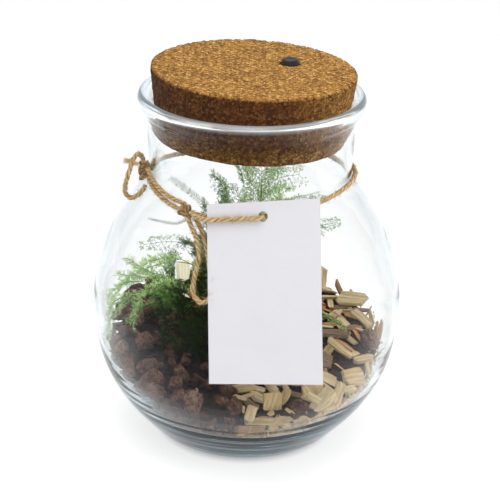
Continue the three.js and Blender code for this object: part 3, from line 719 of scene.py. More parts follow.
@dataclass(frozen=True)
class ClearGlass:
    """Slightly blue clear glass that lets light rays through to what it holds, deeper in tone in its thick base, partly
    by painted shade, with painted shade towards its edges and a painted glow on its lip.
    """

    tint: Colour = (0.99, 0.995, 0.995)
    # The base's deep tone is partly the thick glass's own tint and partly painted shade.
    base_tint_and_shade: Colour = (0.16, 0.35, 0.42)
    base_height: Span = (0.01, 0.022)  # m, from the deepest tone to none
    painted_edge_shade: Colour = (0.37, 0.5, 0.55)
    side_facing: Span = (0.55, 0.9)  # where painted shade, in the base's tone, darkens the glass towards its edges
    side_height: Span = (0.03, 0.075)
    side_share: float = 0.36  # of that painted shade which is left higher up
    lip_height: Span = (0.1815, 0.1845)  # m, where the rolled lip turns pale: frosted, with a painted glow
    lip_frost: float = 0.2
    painted_lip_glow: Colour = (0.19, 0.205, 0.21)
    index: float = 1.5
    depth_tint: Colour = (0.42, 0.66, 0.74)
    density: float = 14.0
    sheen: float = 0.03  # share of a plain glass's mirror reflection where it faces the eye
    edge: Span = (0.79, 0.97)  # where the reflection rises to all of it
    mirror: Colour = (0.8, 0.815, 0.82)  # its tone there
    base_mirror: Colour = (0.28, 0.39, 0.44)  # and in the base
    inner_edge: Span = (0.2, 0.26)  # the same for light that is within the glass

    def material(self) -> Material:
        """Makes the material.

        Returns:
            The material.
        """
        plain = {"Emission_Strength": 1.0, "IOR": self.index, "Metallic": 0.0, "Transmission_Weight": 1.0}
        surface = Surface("clear_glass", **plain)
        facing = surface.add("ShaderNodeLayerWeight", {"Blend": 0.5}).outputs["Facing"]
        back = surface.add("ShaderNodeNewGeometry").outputs["Backfacing"]
        within = surface.math("MULTIPLY", back, surface.between(facing, *self.inner_edge))
        edge = surface.math("MAXIMUM", surface.between(facing, *self.edge), within)
        height = surface.add("ShaderNodeSeparateXYZ", {0: surface.place}).outputs[2]
        mirror = surface.mix(surface.between(height, *self.base_height), self.base_mirror, self.mirror)
        surface.paint("Specular Tint", surface.mix(edge, (self.sheen,) * 3, mirror))
        # Painted shade in part: the base's deep tone.
        low = surface.mix(surface.between(height, *self.base_height), self.base_tint_and_shade, self.tint)
        # Painted shade: the glass darkens towards its edges, fully low down and by a share higher up.
        share = surface.between(height, *self.side_height, 1.0, self.side_share)
        beside = surface.math("MULTIPLY", surface.between(facing, *self.side_facing), share)
        surface.paint("Base Color", surface.mix(1.0, low, surface.mix(beside, WHITE, self.painted_edge_shade), "MULTIPLY"))
        surface.paint("Roughness", surface.between(height, *self.lip_height, 0.0, self.lip_frost))
        # Painted glow on the rolled lip.
        surface.paint("Emission Color", surface.mix(surface.between(height, *self.lip_height), BLACK, self.painted_lip_glow))
        passed = surface.add("ShaderNodeBsdfTransparent", {0: (*WHITE, 1.0)}).outputs[0]
        shadow = surface.add("ShaderNodeLightPath").outputs["Is Shadow Ray"]
        both = surface.add("ShaderNodeMixShader", {0: shadow, 1: surface.shader.outputs[0], 2: passed})
        depth = surface.add("ShaderNodeVolumeAbsorption", {"Color": (*self.depth_tint, 1.0), "Density": self.density})
        surface.feed(surface.output, {"Surface": both.outputs[0], "Volume": depth.outputs[0]})
        return surface.material


@dataclass(frozen=True)
class PressedCork:
    """Cork granules pressed into a block, golden on top, darkened on the sides by painted shade."""

    stops: Stops = (
        (0.0, (0.02, 0.007, 0.002)), (0.14, (0.12, 0.045, 0.01)), (0.4, (0.36, 0.17, 0.032)),
        (0.72, (0.62, 0.305, 0.058)), (1.0, (0.98, 0.66, 0.26)),
    )
    painted_side_shade: Colour = (0.225, 0.155, 0.115)

    def material(self) -> Material:
        """Makes the material.

        Returns:
            The material.
        """
        surface = Surface("pressed_cork", Roughness=0.9, Specular_IOR_Level=0.25)
        grains = surface.effect(Effect.GRAINS, Scale=820.0, Wobble=0.0012)
        specks = surface.effect(Effect.GRAINS, Scale=2100.0, Wobble=0.0004)
        broad = surface.effect(Effect.MOTTLE, Scale=60.0, Spread=0.28)
        coarse, small = surface.math("MULTIPLY", grains["Tone"], 0.78), surface.math("MULTIPLY", specks["Tone"], 0.22)
        colour = surface.ramp(surface.math("ADD", coarse, small), self.stops)
        colour = surface.mix(surface.math("MULTIPLY", grains["Rim"], 0.6), colour, (0.07, 0.025, 0.007))
        colour = surface.mix(surface.math("MULTIPLY", broad["Mask"], 0.2), colour, (0.66, 0.35, 0.085))
        # Painted shade: the attribute side darkens the cork's sides and its lower part.
        shade = surface.mix(surface.attribute("side"), WHITE, self.painted_side_shade)
        surface.paint("Base Color", surface.mix(1.0, colour, shade, "MULTIPLY"))
        surface.relief(surface.math("ADD", grains["Height"], specks["Height"]), 0.45, 0.9)
        return surface.material


@dataclass(frozen=True)
class PorousLava:
    """Red-brown to grey lava rock, full of pores."""

    stops: Stops = (
        (0.0, (0.03, 0.016, 0.012)), (0.3, (0.095, 0.044, 0.03)), (0.62, (0.26, 0.13, 0.088)),
        (1.0, (0.56, 0.38, 0.28)),
    )
    painted_pore_shade: Colour = (0.016, 0.009, 0.007)

    def material(self) -> Material:
        """Makes the material.

        Returns:
            The material.
        """
        surface = Surface("porous_lava", Roughness=0.95, Specular_IOR_Level=0.25)
        patches = surface.effect(Effect.MOTTLE, Scale=260.0, Spread=0.22)
        large = surface.effect(Effect.GRAINS, Scale=420.0, Wobble=0.0024)
        pores = surface.effect(Effect.GRAINS, Scale=950.0, Wobble=0.0012)
        fine = surface.effect(Effect.MOTTLE, Scale=1500.0, Spread=0.2)
        # The tone attribute carries painted light and shade from how each face is turned.
        tone = surface.attribute("tone")
        tone = surface.math("ADD", tone, surface.between(patches["Mask"], 0.0, 1.0, -0.22, 0.22))
        tone = surface.math("ADD", tone, surface.between(fine["Mask"], 0.0, 1.0, -0.2, 0.2))
        # Painted shade: the pores and larger hollows are darkened.
        small = surface.between(pores["Height"], 0.66, 0.84, 0.0, 0.9)
        hollow = surface.math("MAXIMUM", small, surface.between(large["Height"], 0.78, 0.9))
        surface.paint("Base Color", surface.mix(hollow, surface.ramp(tone, self.stops), self.painted_pore_shade))
        relief = surface.math("ADD", surface.math("SUBTRACT", 1.0, pores["Height"]), fine["Mask"])
        surface.relief(surface.math("SUBTRACT", relief, large["Height"]), 0.8, 1.0)
        return surface.material


@dataclass(frozen=True)
class SplitWood:
    """Dry split wood, mostly pale, some of it orange or with bark."""

    name: str = "split_wood"
    glow: float = 0.1  # painted glow, standing in for light from all round
    groove: Colour = (0.36, 0.25, 0.15)
    stops: Stops = (
        (0.0, (0.95, 0.79, 0.49)), (0.35, (0.88, 0.69, 0.38)), (0.62, (0.76, 0.54, 0.26)), (0.8, (0.84, 0.38, 0.12)),
        (0.9, (0.26, 0.16, 0.11)), (1.0, (0.14, 0.085, 0.06)),
    )

    def material(self) -> Material:
        """Makes the material.

        Returns:
            The material.
        """
        surface = Surface(self.name, Roughness=0.85, Specular_IOR_Level=0.3, Emission_Strength=self.glow)
        local = surface.attribute("grain", "Vector")
        grain = surface.effect(Effect.FIBRES, vector=local, Along=60.0, Across=760.0)
        pores = surface.effect(Effect.FIBRES, vector=local, Along=160.0, Across=2600.0)
        patches = surface.effect(Effect.MOTTLE, Scale=160.0, Spread=0.3)
        colour = surface.ramp(surface.attribute("tone"), self.stops)
        dark = surface.mix(1.0, colour, self.groove, "MULTIPLY")
        for mask, share in ((grain["Mask"], 0.8), (pores["Mask"], 0.3)):
            colour = surface.mix(surface.math("MULTIPLY", surface.math("SUBTRACT", 1.0, mask), share), colour, dark)
        colour = surface.mix(surface.math("MULTIPLY", patches["Mask"], 0.2), colour, (0.86, 0.74, 0.5))
        # Painted shade on faces turned away from the light, and a painted glow in the same colour.
        shade = surface.between(surface.attribute("lit"), 0.15, 0.62, 0.5, 1.0)
        shaded = surface.mix(shade, (0.02, 0.012, 0.008), colour)
        surface.paint("Base Color", shaded)
        surface.paint("Emission Color", shaded)
        surface.relief(surface.math("ADD", grain["Height"], pores["Height"]), 0.4, 0.9)
        return surface.material


@dataclass(frozen=True)
class FernLeaf:
    """Needles and stems of a lace fern, from the dark of its middle, partly painted shade, to its fresh tips."""

    stops: Stops = (
        (0.0, (0.006, 0.009, 0.003)), (0.3, (0.026, 0.054, 0.01)), (0.65, (0.15, 0.3, 0.06)),
        (1.0, (0.48, 0.66, 0.28)),
    )
    through: float = 0.3  # painted glow: how much light seems to come through the needles

    def material(self) -> Material:
        """Makes the material.

        Returns:
            The material.
        """
        surface = Surface("fern_leaf", Roughness=0.6, Specular_IOR_Level=0.3, Emission_Strength=1.0)
        tone = surface.attribute("tone")
        patches = surface.effect(Effect.MOTTLE, Scale=110.0, Spread=0.3)
        shifted = surface.math("ADD", tone, surface.between(patches["Mask"], 0.0, 1.0, -0.1, 0.1))
        colour = surface.ramp(shifted, self.stops)
        surface.paint("Base Color", colour)
        # Painted glow: the lighter needles give off part of their colour as light.
        lit = surface.between(shifted, 0.35, 0.9, 0.0, self.through)
        surface.paint("Emission Color", surface.mix(lit, BLACK, colour))
        fine = surface.effect(Effect.MOTTLE, Scale=2600.0, Spread=0.4)
        surface.relief(fine["Mask"], 0.03, 0.4)
        return surface.material


@dataclass(frozen=True)
class JuteFibre:
    """Golden jute, its fibres running along each strand."""

    stops: Stops = (
        (0.0, (0.08, 0.04, 0.014)), (0.32, (0.26, 0.15, 0.055)), (0.62, (0.52, 0.35, 0.16)), (1.0, (0.86, 0.68, 0.4)),
    )

    def material(self) -> Material:
        """Makes the material.

        Returns:
            The material.
        """
        surface = Surface("jute_fibre", Roughness=0.9)
        local = surface.attribute("grain", "Vector")
        fibres = surface.effect(Effect.FIBRES, vector=local, Along=130.0, Across=2600.0)
        patches = surface.effect(Effect.MOTTLE, Scale=260.0, Spread=0.3)
        mixed = surface.math("MULTIPLY", fibres["Mask"], 0.4), surface.math("MULTIPLY", patches["Mask"], 0.26)
        # Painted shade: depth is low in the grooves between strands and on the knots, with uneven fibre tone added.
        depth = surface.math("MULTIPLY", surface.attribute("depth"), 0.4)
        tone = surface.math("ADD", surface.math("ADD", *mixed), depth)
        surface.paint("Base Color", surface.ramp(tone, self.stops))
        surface.relief(fibres["Height"], 0.25, 0.9)
        return surface.material


@dataclass(frozen=True)
class PlainCard:
    """Matt uncoated card, blank."""

    colour: Colour = (0.68, 0.673, 0.706)
    shade: Colour = (0.648, 0.64, 0.674)

    def material(self) -> Material:
        """Makes the material.

        Returns:
            The material.
        """
        surface = Surface("plain_card", Roughness=0.75)
        patches = surface.effect(Effect.MOTTLE, Scale=45.0, Spread=0.3)
        pulp = surface.effect(Effect.MOTTLE, Scale=1500.0, Spread=0.4)
        surface.paint("Base Color", surface.mix(patches["Mask"], self.shade, self.colour))
        surface.relief(pulp["Mask"], 0.02, 0.35)
        return surface.material


@dataclass(frozen=True)
class DarkSoil:
    """Moist dark soil with paler crumbs in it."""

    wet: Colour = (0.018, 0.012, 0.009)
    dry: Colour = (0.075, 0.05, 0.034)

    def material(self) -> Material:
        """Makes the material.

        Returns:
            The material.
        """
        surface = Surface("dark_soil", Roughness=0.97)
        crumbs = surface.effect(Effect.GRAINS, Scale=420.0, Wobble=0.002)
        fine = surface.effect(Effect.MOTTLE, Scale=500.0, Spread=0.25)
        tone = surface.math("MULTIPLY", crumbs["Tone"], fine["Mask"])
        surface.paint("Base Color", surface.mix(tone, self.wet, self.dry))
        surface.relief(surface.math("ADD", crumbs["Height"], fine["Mask"]), 0.8, 0.9)
        return surface.material


@dataclass(frozen=True)
class Moulded:
    """Moulded plastic, rubber or metal with a fine surface."""

    name: str
    colour: Colour
    roughness: float
    metallic: float = 0.0
    speck: float = 0.12

    def material(self) -> Material:
        """Makes the material.

        Returns:
            The material.
        """
        surface = Surface(self.name, Roughness=self.roughness, Metallic=self.metallic)
        fine = surface.effect(Effect.MOTTLE, Scale=900.0, Spread=0.35)
        darker = tuple(c * (1 - self.speck) for c in self.colour)
        surface.paint("Base Color", surface.mix(fine["Mask"], darker, self.colour))
        surface.relief(fine["Mask"], 0.02, 0.4)
        return surface.material


@dataclass(frozen=True)
class StudioFloor:
    """A pale seamless floor, lit a little from below so that it stays white beside the jar, with a painted shadow where
    that glow stops round the jar's foot.
    """

    colour: Colour = (0.42, 0.42, 0.42)
    glow: float = 0.72
    painted_shadow_to: float = 0.036  # m from the jar's axis, where it stands: no glow within, a painted shadow
    bright_from: float = 0.048
    fade: Span = (0.1, 0.24)  # where the glow goes down to its far share
    far_share: float = 0.8

    def material(self) -> Material:
        """Makes the material.

        Returns:
            The material.
        """
        plain = {"Base_Color": (*self.colour, 1.0), "Roughness": 0.9, "Emission_Color": (*WHITE, 1.0)}
        surface = Surface("studio_floor", **plain)
        reach = surface.add("ShaderNodeVectorMath", {0: surface.place}, operation="LENGTH").outputs["Value"]
        # Painted shadow: no glow under the jar, rising to full round its foot.
        near = surface.between(reach, self.painted_shadow_to, self.bright_from, 0.0, self.glow)
        far = surface.between(reach, *self.fade, 1.0, self.far_share)
        surface.paint("Emission Strength", surface.math("MULTIPLY", near, far))
        return surface.material


def dress(piece: Object, material: Material) -> Object:
    """Gives a piece one material."""
    piece.data.materials.clear()
    piece.data.materials.append(material)
    return piece


def dress_node(node: str, material: Material) -> None:
    """Gives a frame node that stays a better material."""
    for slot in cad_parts[node].material_slots:
        slot.material = material
    log.info("%s keeps its frame mesh", node)


def finished(piece: Object, slot: str, *nodes: str, material: Material | None = None, body: str = "root") -> Object:
    """Dresses a piece, puts it on its body in place of frame nodes, and logs it.

    Args:
        piece: The piece, in place.
        slot: The record's material slot; not used.
        nodes: The frame nodes that it stands for.
        material: Its finish, if it has none yet.
        body: The body that it rides on.

    Returns:
        The piece.
    """
    if material:
        dress(piece, material)
    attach(piece, body)
    if nodes:
        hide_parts(*nodes)
    log.info("%s: %d vertices", piece.name, len(piece.data.vertices))
    return piece


# ---- camera, light and floor


@dataclass
class Studio:
    """The camera at the photograph's angle, soft white light and a pale floor."""

    lens: float = 124.9  # mm, on a 36 mm sensor
    elevation: float = 23.0  # degrees that the camera looks down
    roll: float = 1.55  # degrees
    place: Place = (1.03, -828.45, 451.19)
    world: float = 0.7
    sky: tuple[float, ...] = (0.985, 0.99, 1.0, 1.0)
    bounces: int = 24  # light runs a long way in the thick base and the lip

    def set_camera(self) -> None:
        """Makes the scene's camera."""
        data = bpy.data.cameras.new("studio_camera")
        data.lens, data.sensor_width = self.lens, 36.0
        data.clip_end = 20.0
        data.dof.use_dof = False
        camera = linked("studio_camera", data)
        tilt, roll = math.radians(self.elevation), math.radians(self.roll)
        back = Vector((0, -math.cos(tilt), math.sin(tilt)))
        right = Vector((1, 0, 0))
        above = back.cross(right)
        side = right * math.cos(roll) + above * math.sin(roll)
        top = above * math.cos(roll) - right * math.sin(roll)
        turn = Matrix((side, top, back)).transposed().to_4x4()
        camera.matrix_world = Matrix.Translation(Vector(self.place) * MM) @ turn
        bpy.context.scene.camera = camera

    def panel(self, name: str, place: Place, size: tuple[float, float], power: float, seen: bool = False) -> None:
        """Hangs a soft rectangular light that faces the jar.

        Args:
            name: The light's name.
            place: Its middle, in metres.
            size: Its width and height, in metres.
            power: Its power, in watts.
            seen: Whether the glass reflects it.
        """
        data = bpy.data.lights.new(name, "AREA")
        data.shape, data.size, data.size_y, data.energy = "RECTANGLE", *size, power
        light = linked(name, data)
        light.location = place
        light.rotation_euler = (Vector(place) - Vector((0, 0, 0.09))).to_track_quat("Z", "Y").to_euler()
        light.visible_glossy = light.visible_transmission = seen

    def light(self) -> None:
        """Sets the world, the panels and how colour is shown."""
        world = bpy.data.worlds.new("white_room")
        world.use_nodes = True
        Nodes(world.node_tree).feed(world.node_tree.nodes["Background"], {"Color": self.sky, "Strength": self.world})
        bpy.context.scene.world = world
        self.panel("overhead", (-0.1, -0.1, 1.3), (1.1, 0.9), 8.5, seen=True)
        self.panel("front", (0.5, -1.5, 1.0), (0.9, 0.9), 2.2)
        self.panel("right", (1.3, -0.3, 0.5), (0.7, 0.7), 8.0)
        paths = bpy.context.scene.cycles
        paths.max_bounces = paths.glossy_bounces = paths.transmission_bounces = self.bounces
        bpy.context.scene.view_settings.view_transform = "Standard"
        bpy.context.scene.view_settings.look = "None"

    def lay_floor(self) -> None:
        """Lays the floor."""
        half = 6.0
        corners = np.array([(-half, -half, 0), (half, -half, 0), (half, half, 0), (-half, half, 0)])
        floor = new_object("studio_floor", corners, [(0, 1, 2, 3)])
        dress(floor, StudioFloor().material())


# ---- the jar


@dataclass(frozen=True)
class Jar:
    """The blown jar: its outline, its inside, and what they give to the pieces round them."""

    base_radius: float = 41.0
    outline: tuple[Span, ...] = (
        (47.6, 3.6), (53.6, 9.1), (66.6, 25), (76.2, 45), (80, 72), (77.4, 93), (70.4, 112), (60.5, 129), (53.6, 138.5),
        (51.7, 146), (52.2, 158), (52.2, 170),
    )
    lip: tuple[Span, ...] = (
        (53.2, 174.6), (55.7, 178.4), (57.3, 182.6), (56.4, 185.4), (54.4, 186), (52.6, 184.4), (51.2, 181),
        (50.1, 177),
    )
    wall: float = 2.5
    base_extra: float = 7.1  # how much thicker the base is
    base_fade: float = 12.0  # the height over which that goes
    segments: int = 160
    steps: int = 110

    @cache
    def outside(self) -> Rows:
        """The outside from the foot to the neck, as rows of radius and height in millimetres."""
        return spaced_curve([(self.base_radius, 0.0), *self.outline], self.steps, centripetal=False)

    @cache
    def inside(self, clearance: float = 0.0) -> Rows:
        """The inside from the floor's edge to the throat.

        Args:
            clearance: How far it is moved in, in millimetres.

        Returns:
            Rows of radius and height in millimetres.
        """
        side = self.outside()
        along = np.gradient(side, axis=0)
        along[0] = (1, 0)
        along /= np.linalg.norm(along, axis=1)[:, None]
        thick = self.wall + self.base_extra * np.exp(-side[:, 1] / self.base_fade) + clearance
        inner = side + np.column_stack([-along[:, 1], along[:, 0]]) * thick[:, None]
        rising = [inner[0]]
        for row in inner[1:]:
            if row[1] > rising[-1][1] + 0.02:
                rising.append(row)
        return np.array(rising)

    def radius_at(self, height: float) -> float:
        """The outside radius at a height, in millimetres."""
        side = self.outside()
        return float(np.interp(height, side[:, 1], side[:, 0]))

    def around(self, azimuth: float, height: float, stand: float = 1.6) -> Place:
        """A point off the outside of the glass, by azimuth in degrees and height in millimetres."""
        turn, radius = math.radians(azimuth), self.radius_at(height) + stand
        return (math.cos(turn) * radius, math.sin(turn) * radius, height)

    def on_front(self, x: float, height: float, stand: float = 1.6) -> Place:
        """The same by x, on the front of the jar."""
        radius = self.radius_at(height) + stand
        return (x, -math.sqrt(radius * radius - x * x), height)

    def hold(self, places: Rows, clearance: float = GLASS_CLEARANCE) -> Rows:
        """Moves places that would be in the glass back into the jar.

        Args:
            places: Rows of places, in millimetres.
            clearance: How far from the glass they stay.

        Returns:
            The places, none of them in the glass or under its floor.
        """
        inner = self.inside(clearance)
        held = places.copy()
        held[:, 2] = np.maximum(held[:, 2], inner[0, 1] + 0.05)
        radius = np.hypot(held[:, 0], held[:, 1])
        most = np.interp(held[:, 2], inner[:, 1], inner[:, 0])
        factor = np.where(radius > most, most / np.maximum(radius, 1e-9), 1.0)
        held[:, :2] *= factor[:, None]
        return held

    def clear_of(self, places: Rows, clearance: float = 0.15) -> Rows:
        """Moves places outside the jar out of the glass.

        Args:
            places: Rows of places, in millimetres.
            clearance: How far from the glass they stay.

        Returns:
            The places, none of them in the glass.
        """
        side = self.outside()
        radius = np.hypot(places[:, 0], places[:, 1])
        least = np.interp(places[:, 2], side[:, 1], side[:, 0]) + clearance
        moved = places.copy()
        moved[:, :2] *= np.where(radius < least, least / np.maximum(radius, 1e-9), 1.0)[:, None]
        return moved

    def holds(self, place: Sequence[float], clearance: float = 1.0) -> bool:
        """Whether a place in millimetres lies in the jar."""
        x, y, z = place
        inner = self.inside(clearance)
        return z > inner[0, 1] and math.hypot(x, y) < np.interp(z, inner[:, 1], inner[:, 0])

    def build(self) -> Object:
        """Makes the glass: a lathe with slow waves in its wall and ripples in the thick base.

        Returns:
            The piece.
        """
        outer, inner = self.outside(), self.inside()
        rim = spaced_curve([outer[-1], *self.lip, inner[-1]], 46, centripetal=False)[1:-1]
        floor = np.column_stack([np.linspace(0, inner[0, 0], 12)[:-1], np.full(11, inner[0, 1])])
        under = np.column_stack([np.linspace(0, self.base_radius, 8)[:-1], np.zeros(7)])
        vertices, faces = lathe(np.vstack([under, outer, rim, inner[::-1], floor[::-1]]), self.segments)
        x, y, z = vertices.T
        radius, height, turn = np.hypot(x, y), z / MM, np.arctan2(y, x)
        limit = np.interp(height, outer[:, 1], outer[:, 0]) * MM
        is_inner = (radius < limit - 1.2 * MM) & (height > 9) & (height < 172)
        low = np.exp(-np.maximum(height - 10, 0) / 13)
        phase = 0.9 * np.sin(turn * 3 + 0.6) + 0.5 * np.sin(turn * 5 + 2)
        ripple = np.sin(height * 1.25 + phase) * 0.32 * low + 0.1 * np.sin(height * 0.23 + turn * 2 + 1)
        rings = np.where(height > 176, np.sin(height * 2.1 + np.sin(turn * 2) * 0.8) * 0.07, 0.0)
        moved = (ripple * is_inner + rings) * MM
        vertices[:, :2] *= (1 + moved / np.maximum(radius, 1e-4))[:, None]
        glass = new_object("blown_jar", vertices, faces)
        return finished(glass, "glass", "glass_jar", material=ClearGlass().material())


# ---- the stopper


@dataclass
class Stopper:
    """The cork, the push button on it, and the lamp in its underside."""

    throat: float = 174.0
    tilt: float = 1.8  # degrees
    top: float = 24.0
    button_place: tuple[float, float] = (17.8, 11.0)
    well_radius: float = 5.4
    well_floor: float = 19.4
    bore_radius: float = 2.8

    def turn(self) -> Rows:
        """The cork's tilt as a matrix."""
        return np.array(Matrix.Rotation(math.radians(self.tilt), 3, "Y"))

    def to_row(self, places: Rows) -> Rows:
        """Takes places from the cork's own frame to the jar's, in metres."""
        return places @ self.turn().T + (0, 0, self.throat * MM)

    def from_row(self, places: Rows) -> Rows:
        """Takes places from the jar's frame to the cork's own, in metres."""
        return (places - (0, 0, self.throat * MM)) @ self.turn()

    def cleared(self, own: Rows) -> Rows:
        """Keeps the cork's well wide and deep enough for the button when it is pressed.

        Args:
            own: Rows of places in the cork's own frame, in millimetres.

        Returns:
            The places.
        """
        made = own.copy()
        off = made[:, :2] - self.button_place
        away = np.hypot(off[:, 0], off[:, 1])
        in_well = (made[:, 2] > self.well_floor - 0.6) & (away < self.well_radius - 0.3)
        made[:, 2] = np.where(in_well, np.minimum(made[:, 2], self.well_floor), made[:, 2])
        wall = (made[:, 2] > self.well_floor + 0.05) & (away < self.well_radius)
        bore = (made[:, 2] < self.well_floor + 0.05) & (away < self.bore_radius)
        least = np.where(wall, self.well_radius, np.where(bore, self.bore_radius, away))
        made[:, :2] = off * (least / np.maximum(away, 1e-6))[:, None] + self.button_place
        return made

    def build_cork(self) -> None:
        """Makes the cork, its edge crumbled and its faces pitted."""
        cork = remade("cork_stopper", "pressed_cork", 0.75)
        own = self.cleared(self.from_row(coordinates(cork)) / MM)
        x, y, z = own.T
        radius, high = np.hypot(x, y), np.hypot(x - self.button_place[0], y - self.button_place[1])
        shown = ((radius > 29.5) | (z > 22.5)) & (high > 6.6)
        rough = fractal(own, 0.75, 3) * 0.16 + fractal(own + 40, 0.22, 2) * 0.18
        pits = held(0.42 - cell_distance(own + 9, 0.42)) * held(fractal(own + 77, 0.12, 2) + 0.25)
        edge = held(1 - np.abs(z - self.top) / 2.4) * held((radius - 48.5) / 3)
        crumble = held(fractal(own + 130, 0.5, 3) + 0.12) * edge * 1.7
        move = (rough - pits * 1.6 - crumble - 0.12) * shown + np.where((radius > 46) & (z < 12), -0.25, 0.0)
        move_to(cork, self.to_row(own * MM) + normals(cork) * (move * MM)[:, None])
        # Painted shade for the finish: on the sides under the top edge and on the part below 18 mm, less of it towards
        # +X where painted light falls and on the low band inside the neck; stains lighten it in streaks low down.
        side = np.maximum(held((radius - 49.6) / 1.4) * held((self.top + 0.2 - z) / 1.4), held((18 - z) / 3))
        side *= 1 - 0.5 * held((x - 16) / 30)
        stain = held(fractal(own * (1.0, 1.0, 0.15) + 31, 0.5, 2) * 3) * (z < 10)
        store(cork, "side", side * (1 - 0.36 * held((-z - 1) / 6) - 0.1 * stain))
        finished(cork, "cork", "cork_stopper", material=PressedCork().material())

    def build_button(self) -> None:
        """Makes the push button, a truncated cone on a skirt."""
        outline = [(0, 14.1), (1.2, 14.1), (1.2, 16.6), (2.2, 16.9), (2.2, 20.9), (4.7, 21.0), (4.8, 21.2), (4.8, 23.9)]
        outline += [(4.66, 24.2), (4.1, 25.75), (4.02, 25.95), (3.86, 26.12), (3.6, 26.2), (2.3, 26.2), (2.0, 26.1)]
        outline += [(0, 26.05)]
        vertices, faces = lathe(np.array(outline), 48)
        vertices[:, :2] += np.array(self.button_place) * MM
        button = new_object("button_cap", self.to_row(vertices), faces)
        rubber = Moulded("button_rubber", (0.005, 0.0053, 0.006), 0.45).material()
        finished(button, "button", "push_button", material=rubber, body="lamp_button")

    def dress_lamp(self) -> None:
        """Dresses the lamp's frame nodes."""
        for node, *finish in (
            ("lamp_housing", "lamp_plastic", (0.75, 0.74, 0.7), 0.45),
            ("lamp_diffuser", "frosted_diffuser", (0.85, 0.84, 0.8), 0.6),
            ("led_board", "board_lacquer", (0.03, 0.15, 0.06), 0.4),
            ("tact_switch", "switch_plastic", (0.03, 0.03, 0.03), 0.4),
            ("coin_cell", "cell_steel", (0.55, 0.56, 0.57), 0.28, 1.0),
        ):
            dress_node(node, Moulded(*finish).material())

    def build(self) -> None:
        """Builds the stopper."""
        self.build_cork()
        self.build_button()
        self.dress_lamp()


# ---- rocks, chips and soil


def principal_axes(places: Rows) -> Rows:
    """Finds the axes of a cloud of places.

    Args:
        places: Rows of places.

    Returns:
        The axes as columns, the longest first.
    """
    _, vectors = np.linalg.eigh(np.cov((places - places.mean(axis=0)).T))
    axes = vectors[:, ::-1].copy()
    if np.linalg.det(axes) < 0:
        axes[:, 2] *= -1
    return axes


@dataclass
class Bed:
    """What the bed's two halves share: the jar, the scatter tree, the surface and what fills it."""

    jar: Jar
    tree: GeometryTree
    middle: float = 51.0  # height of the surface at the jar's axis
    slope: float = 7.0  # degrees that it rises towards the back
    seed: int = 11

    def surface(self, y: float) -> float:
        """The height of the bed's surface at a depth, in millimetres."""
        return self.middle + y * math.tan(math.radians(self.slope))

    def core(self, node: str, name: str, drop: float, inset: float, slot: str) -> None:
        """Makes the dark mass that the loose pieces lie on.

        Args:
            node: The frame node that it stands for.
            name: The piece's name.
            drop: How far its top lies under the bed's surface, in millimetres.
            inset: How far its side stays from the glass, in millimetres.
            slot: The record's slot for it.
        """
        core = remade(node, name, 1.6)
        places = coordinates(core) / MM
        places[:, 2] -= held((places[:, 2] - 34) / 10) * (drop + 1.1 * fractal(places, 0.2, 2))
        places = self.jar.hold(places, inset)
        places += normals(core) * fractal(places, 0.28, 3)[:, None]
        move_to(core, self.jar.hold(places, inset - 1.5) * MM)
        finished(core, slot, node, material=DarkSoil().material())

    def near_wall(self, azimuth: float, height: float, reach: float) -> Place:
        """A place a little inside the glass, by azimuth in degrees, height and distance in millimetres."""
        inner = self.jar.inside(GLASS_CLEARANCE)
        radius, turn = np.interp(height, inner[:, 1], inner[:, 0]) - reach, math.radians(azimuth)
        return (radius * math.cos(turn), radius * math.sin(turn), height)

    def settled(self, shape: Object, place: Sequence[float], spin: Sequence[float], stretch: Sequence[float]) -> Place:
        """Slides a piece along its radius until only its tips touch the glass.

        Args:
            shape: The shape, about one unit across.
            place: Its middle, in millimetres.
            spin: Its turns, in radians.
            stretch: Its size along its own axes, in millimetres.

        Returns:
            Its new middle.
        """
        turned = (coordinates(shape) * np.array(stretch)) @ np.array(Euler(spin).to_matrix()).T
        inner = self.jar.inside(GLASS_CLEARANCE)
        moved = np.array(place, float)
        for _ in range(3):
            moved[2] += max(inner[0, 1] + 0.1 - (turned[:, 2] + moved[2]).min(), 0.0)
            x, y, z = (turned + moved).T
            moved[:2] -= unit(moved[:2]) * (np.hypot(x, y) - np.interp(z, inner[:, 1], inner[:, 0])).max()
        return tuple(moved)

    def jittered(self, rng: Generator, sizes: Span, gap: float, azimuths: Span, on_wall: bool = True) -> list[Spot]:
        """Spreads pieces that don't crowd each other.

        Args:
            rng: The source of chance.
            sizes: The smallest and the largest size, in millimetres.
            gap: The least spacing, as a share of two pieces' mean size.
            azimuths: The first and last azimuth, in degrees.
            on_wall: Whether they lie against the glass, and otherwise on the surface.

        Returns:
            Places and sizes, in millimetres.
        """
        kept: list[Spot] = []
        for _ in range(2600):
            size = rng.uniform(*sizes)
            if on_wall:
                azimuth = rng.uniform(*azimuths)
                y = 70 * math.sin(math.radians(azimuth))
                place = self.near_wall(azimuth, rng.uniform(12.5, self.surface(y) + 1.0), size * 0.42)
            else:
                radius, turn = 69 * math.sqrt(rng.uniform(0.02, 1)), math.radians(rng.uniform(*azimuths))
                x, y = radius * math.cos(turn), radius * math.sin(turn)
                place = (x, y, self.surface(y) - rng.uniform(0.0, 2.5))
            crowded = any(math.dist(place, other) <= gap * (size + wide) / 2 for other, wide in kept)
            if self.jar.holds(place) and not crowded:
                kept.append((place, size))
        return kept


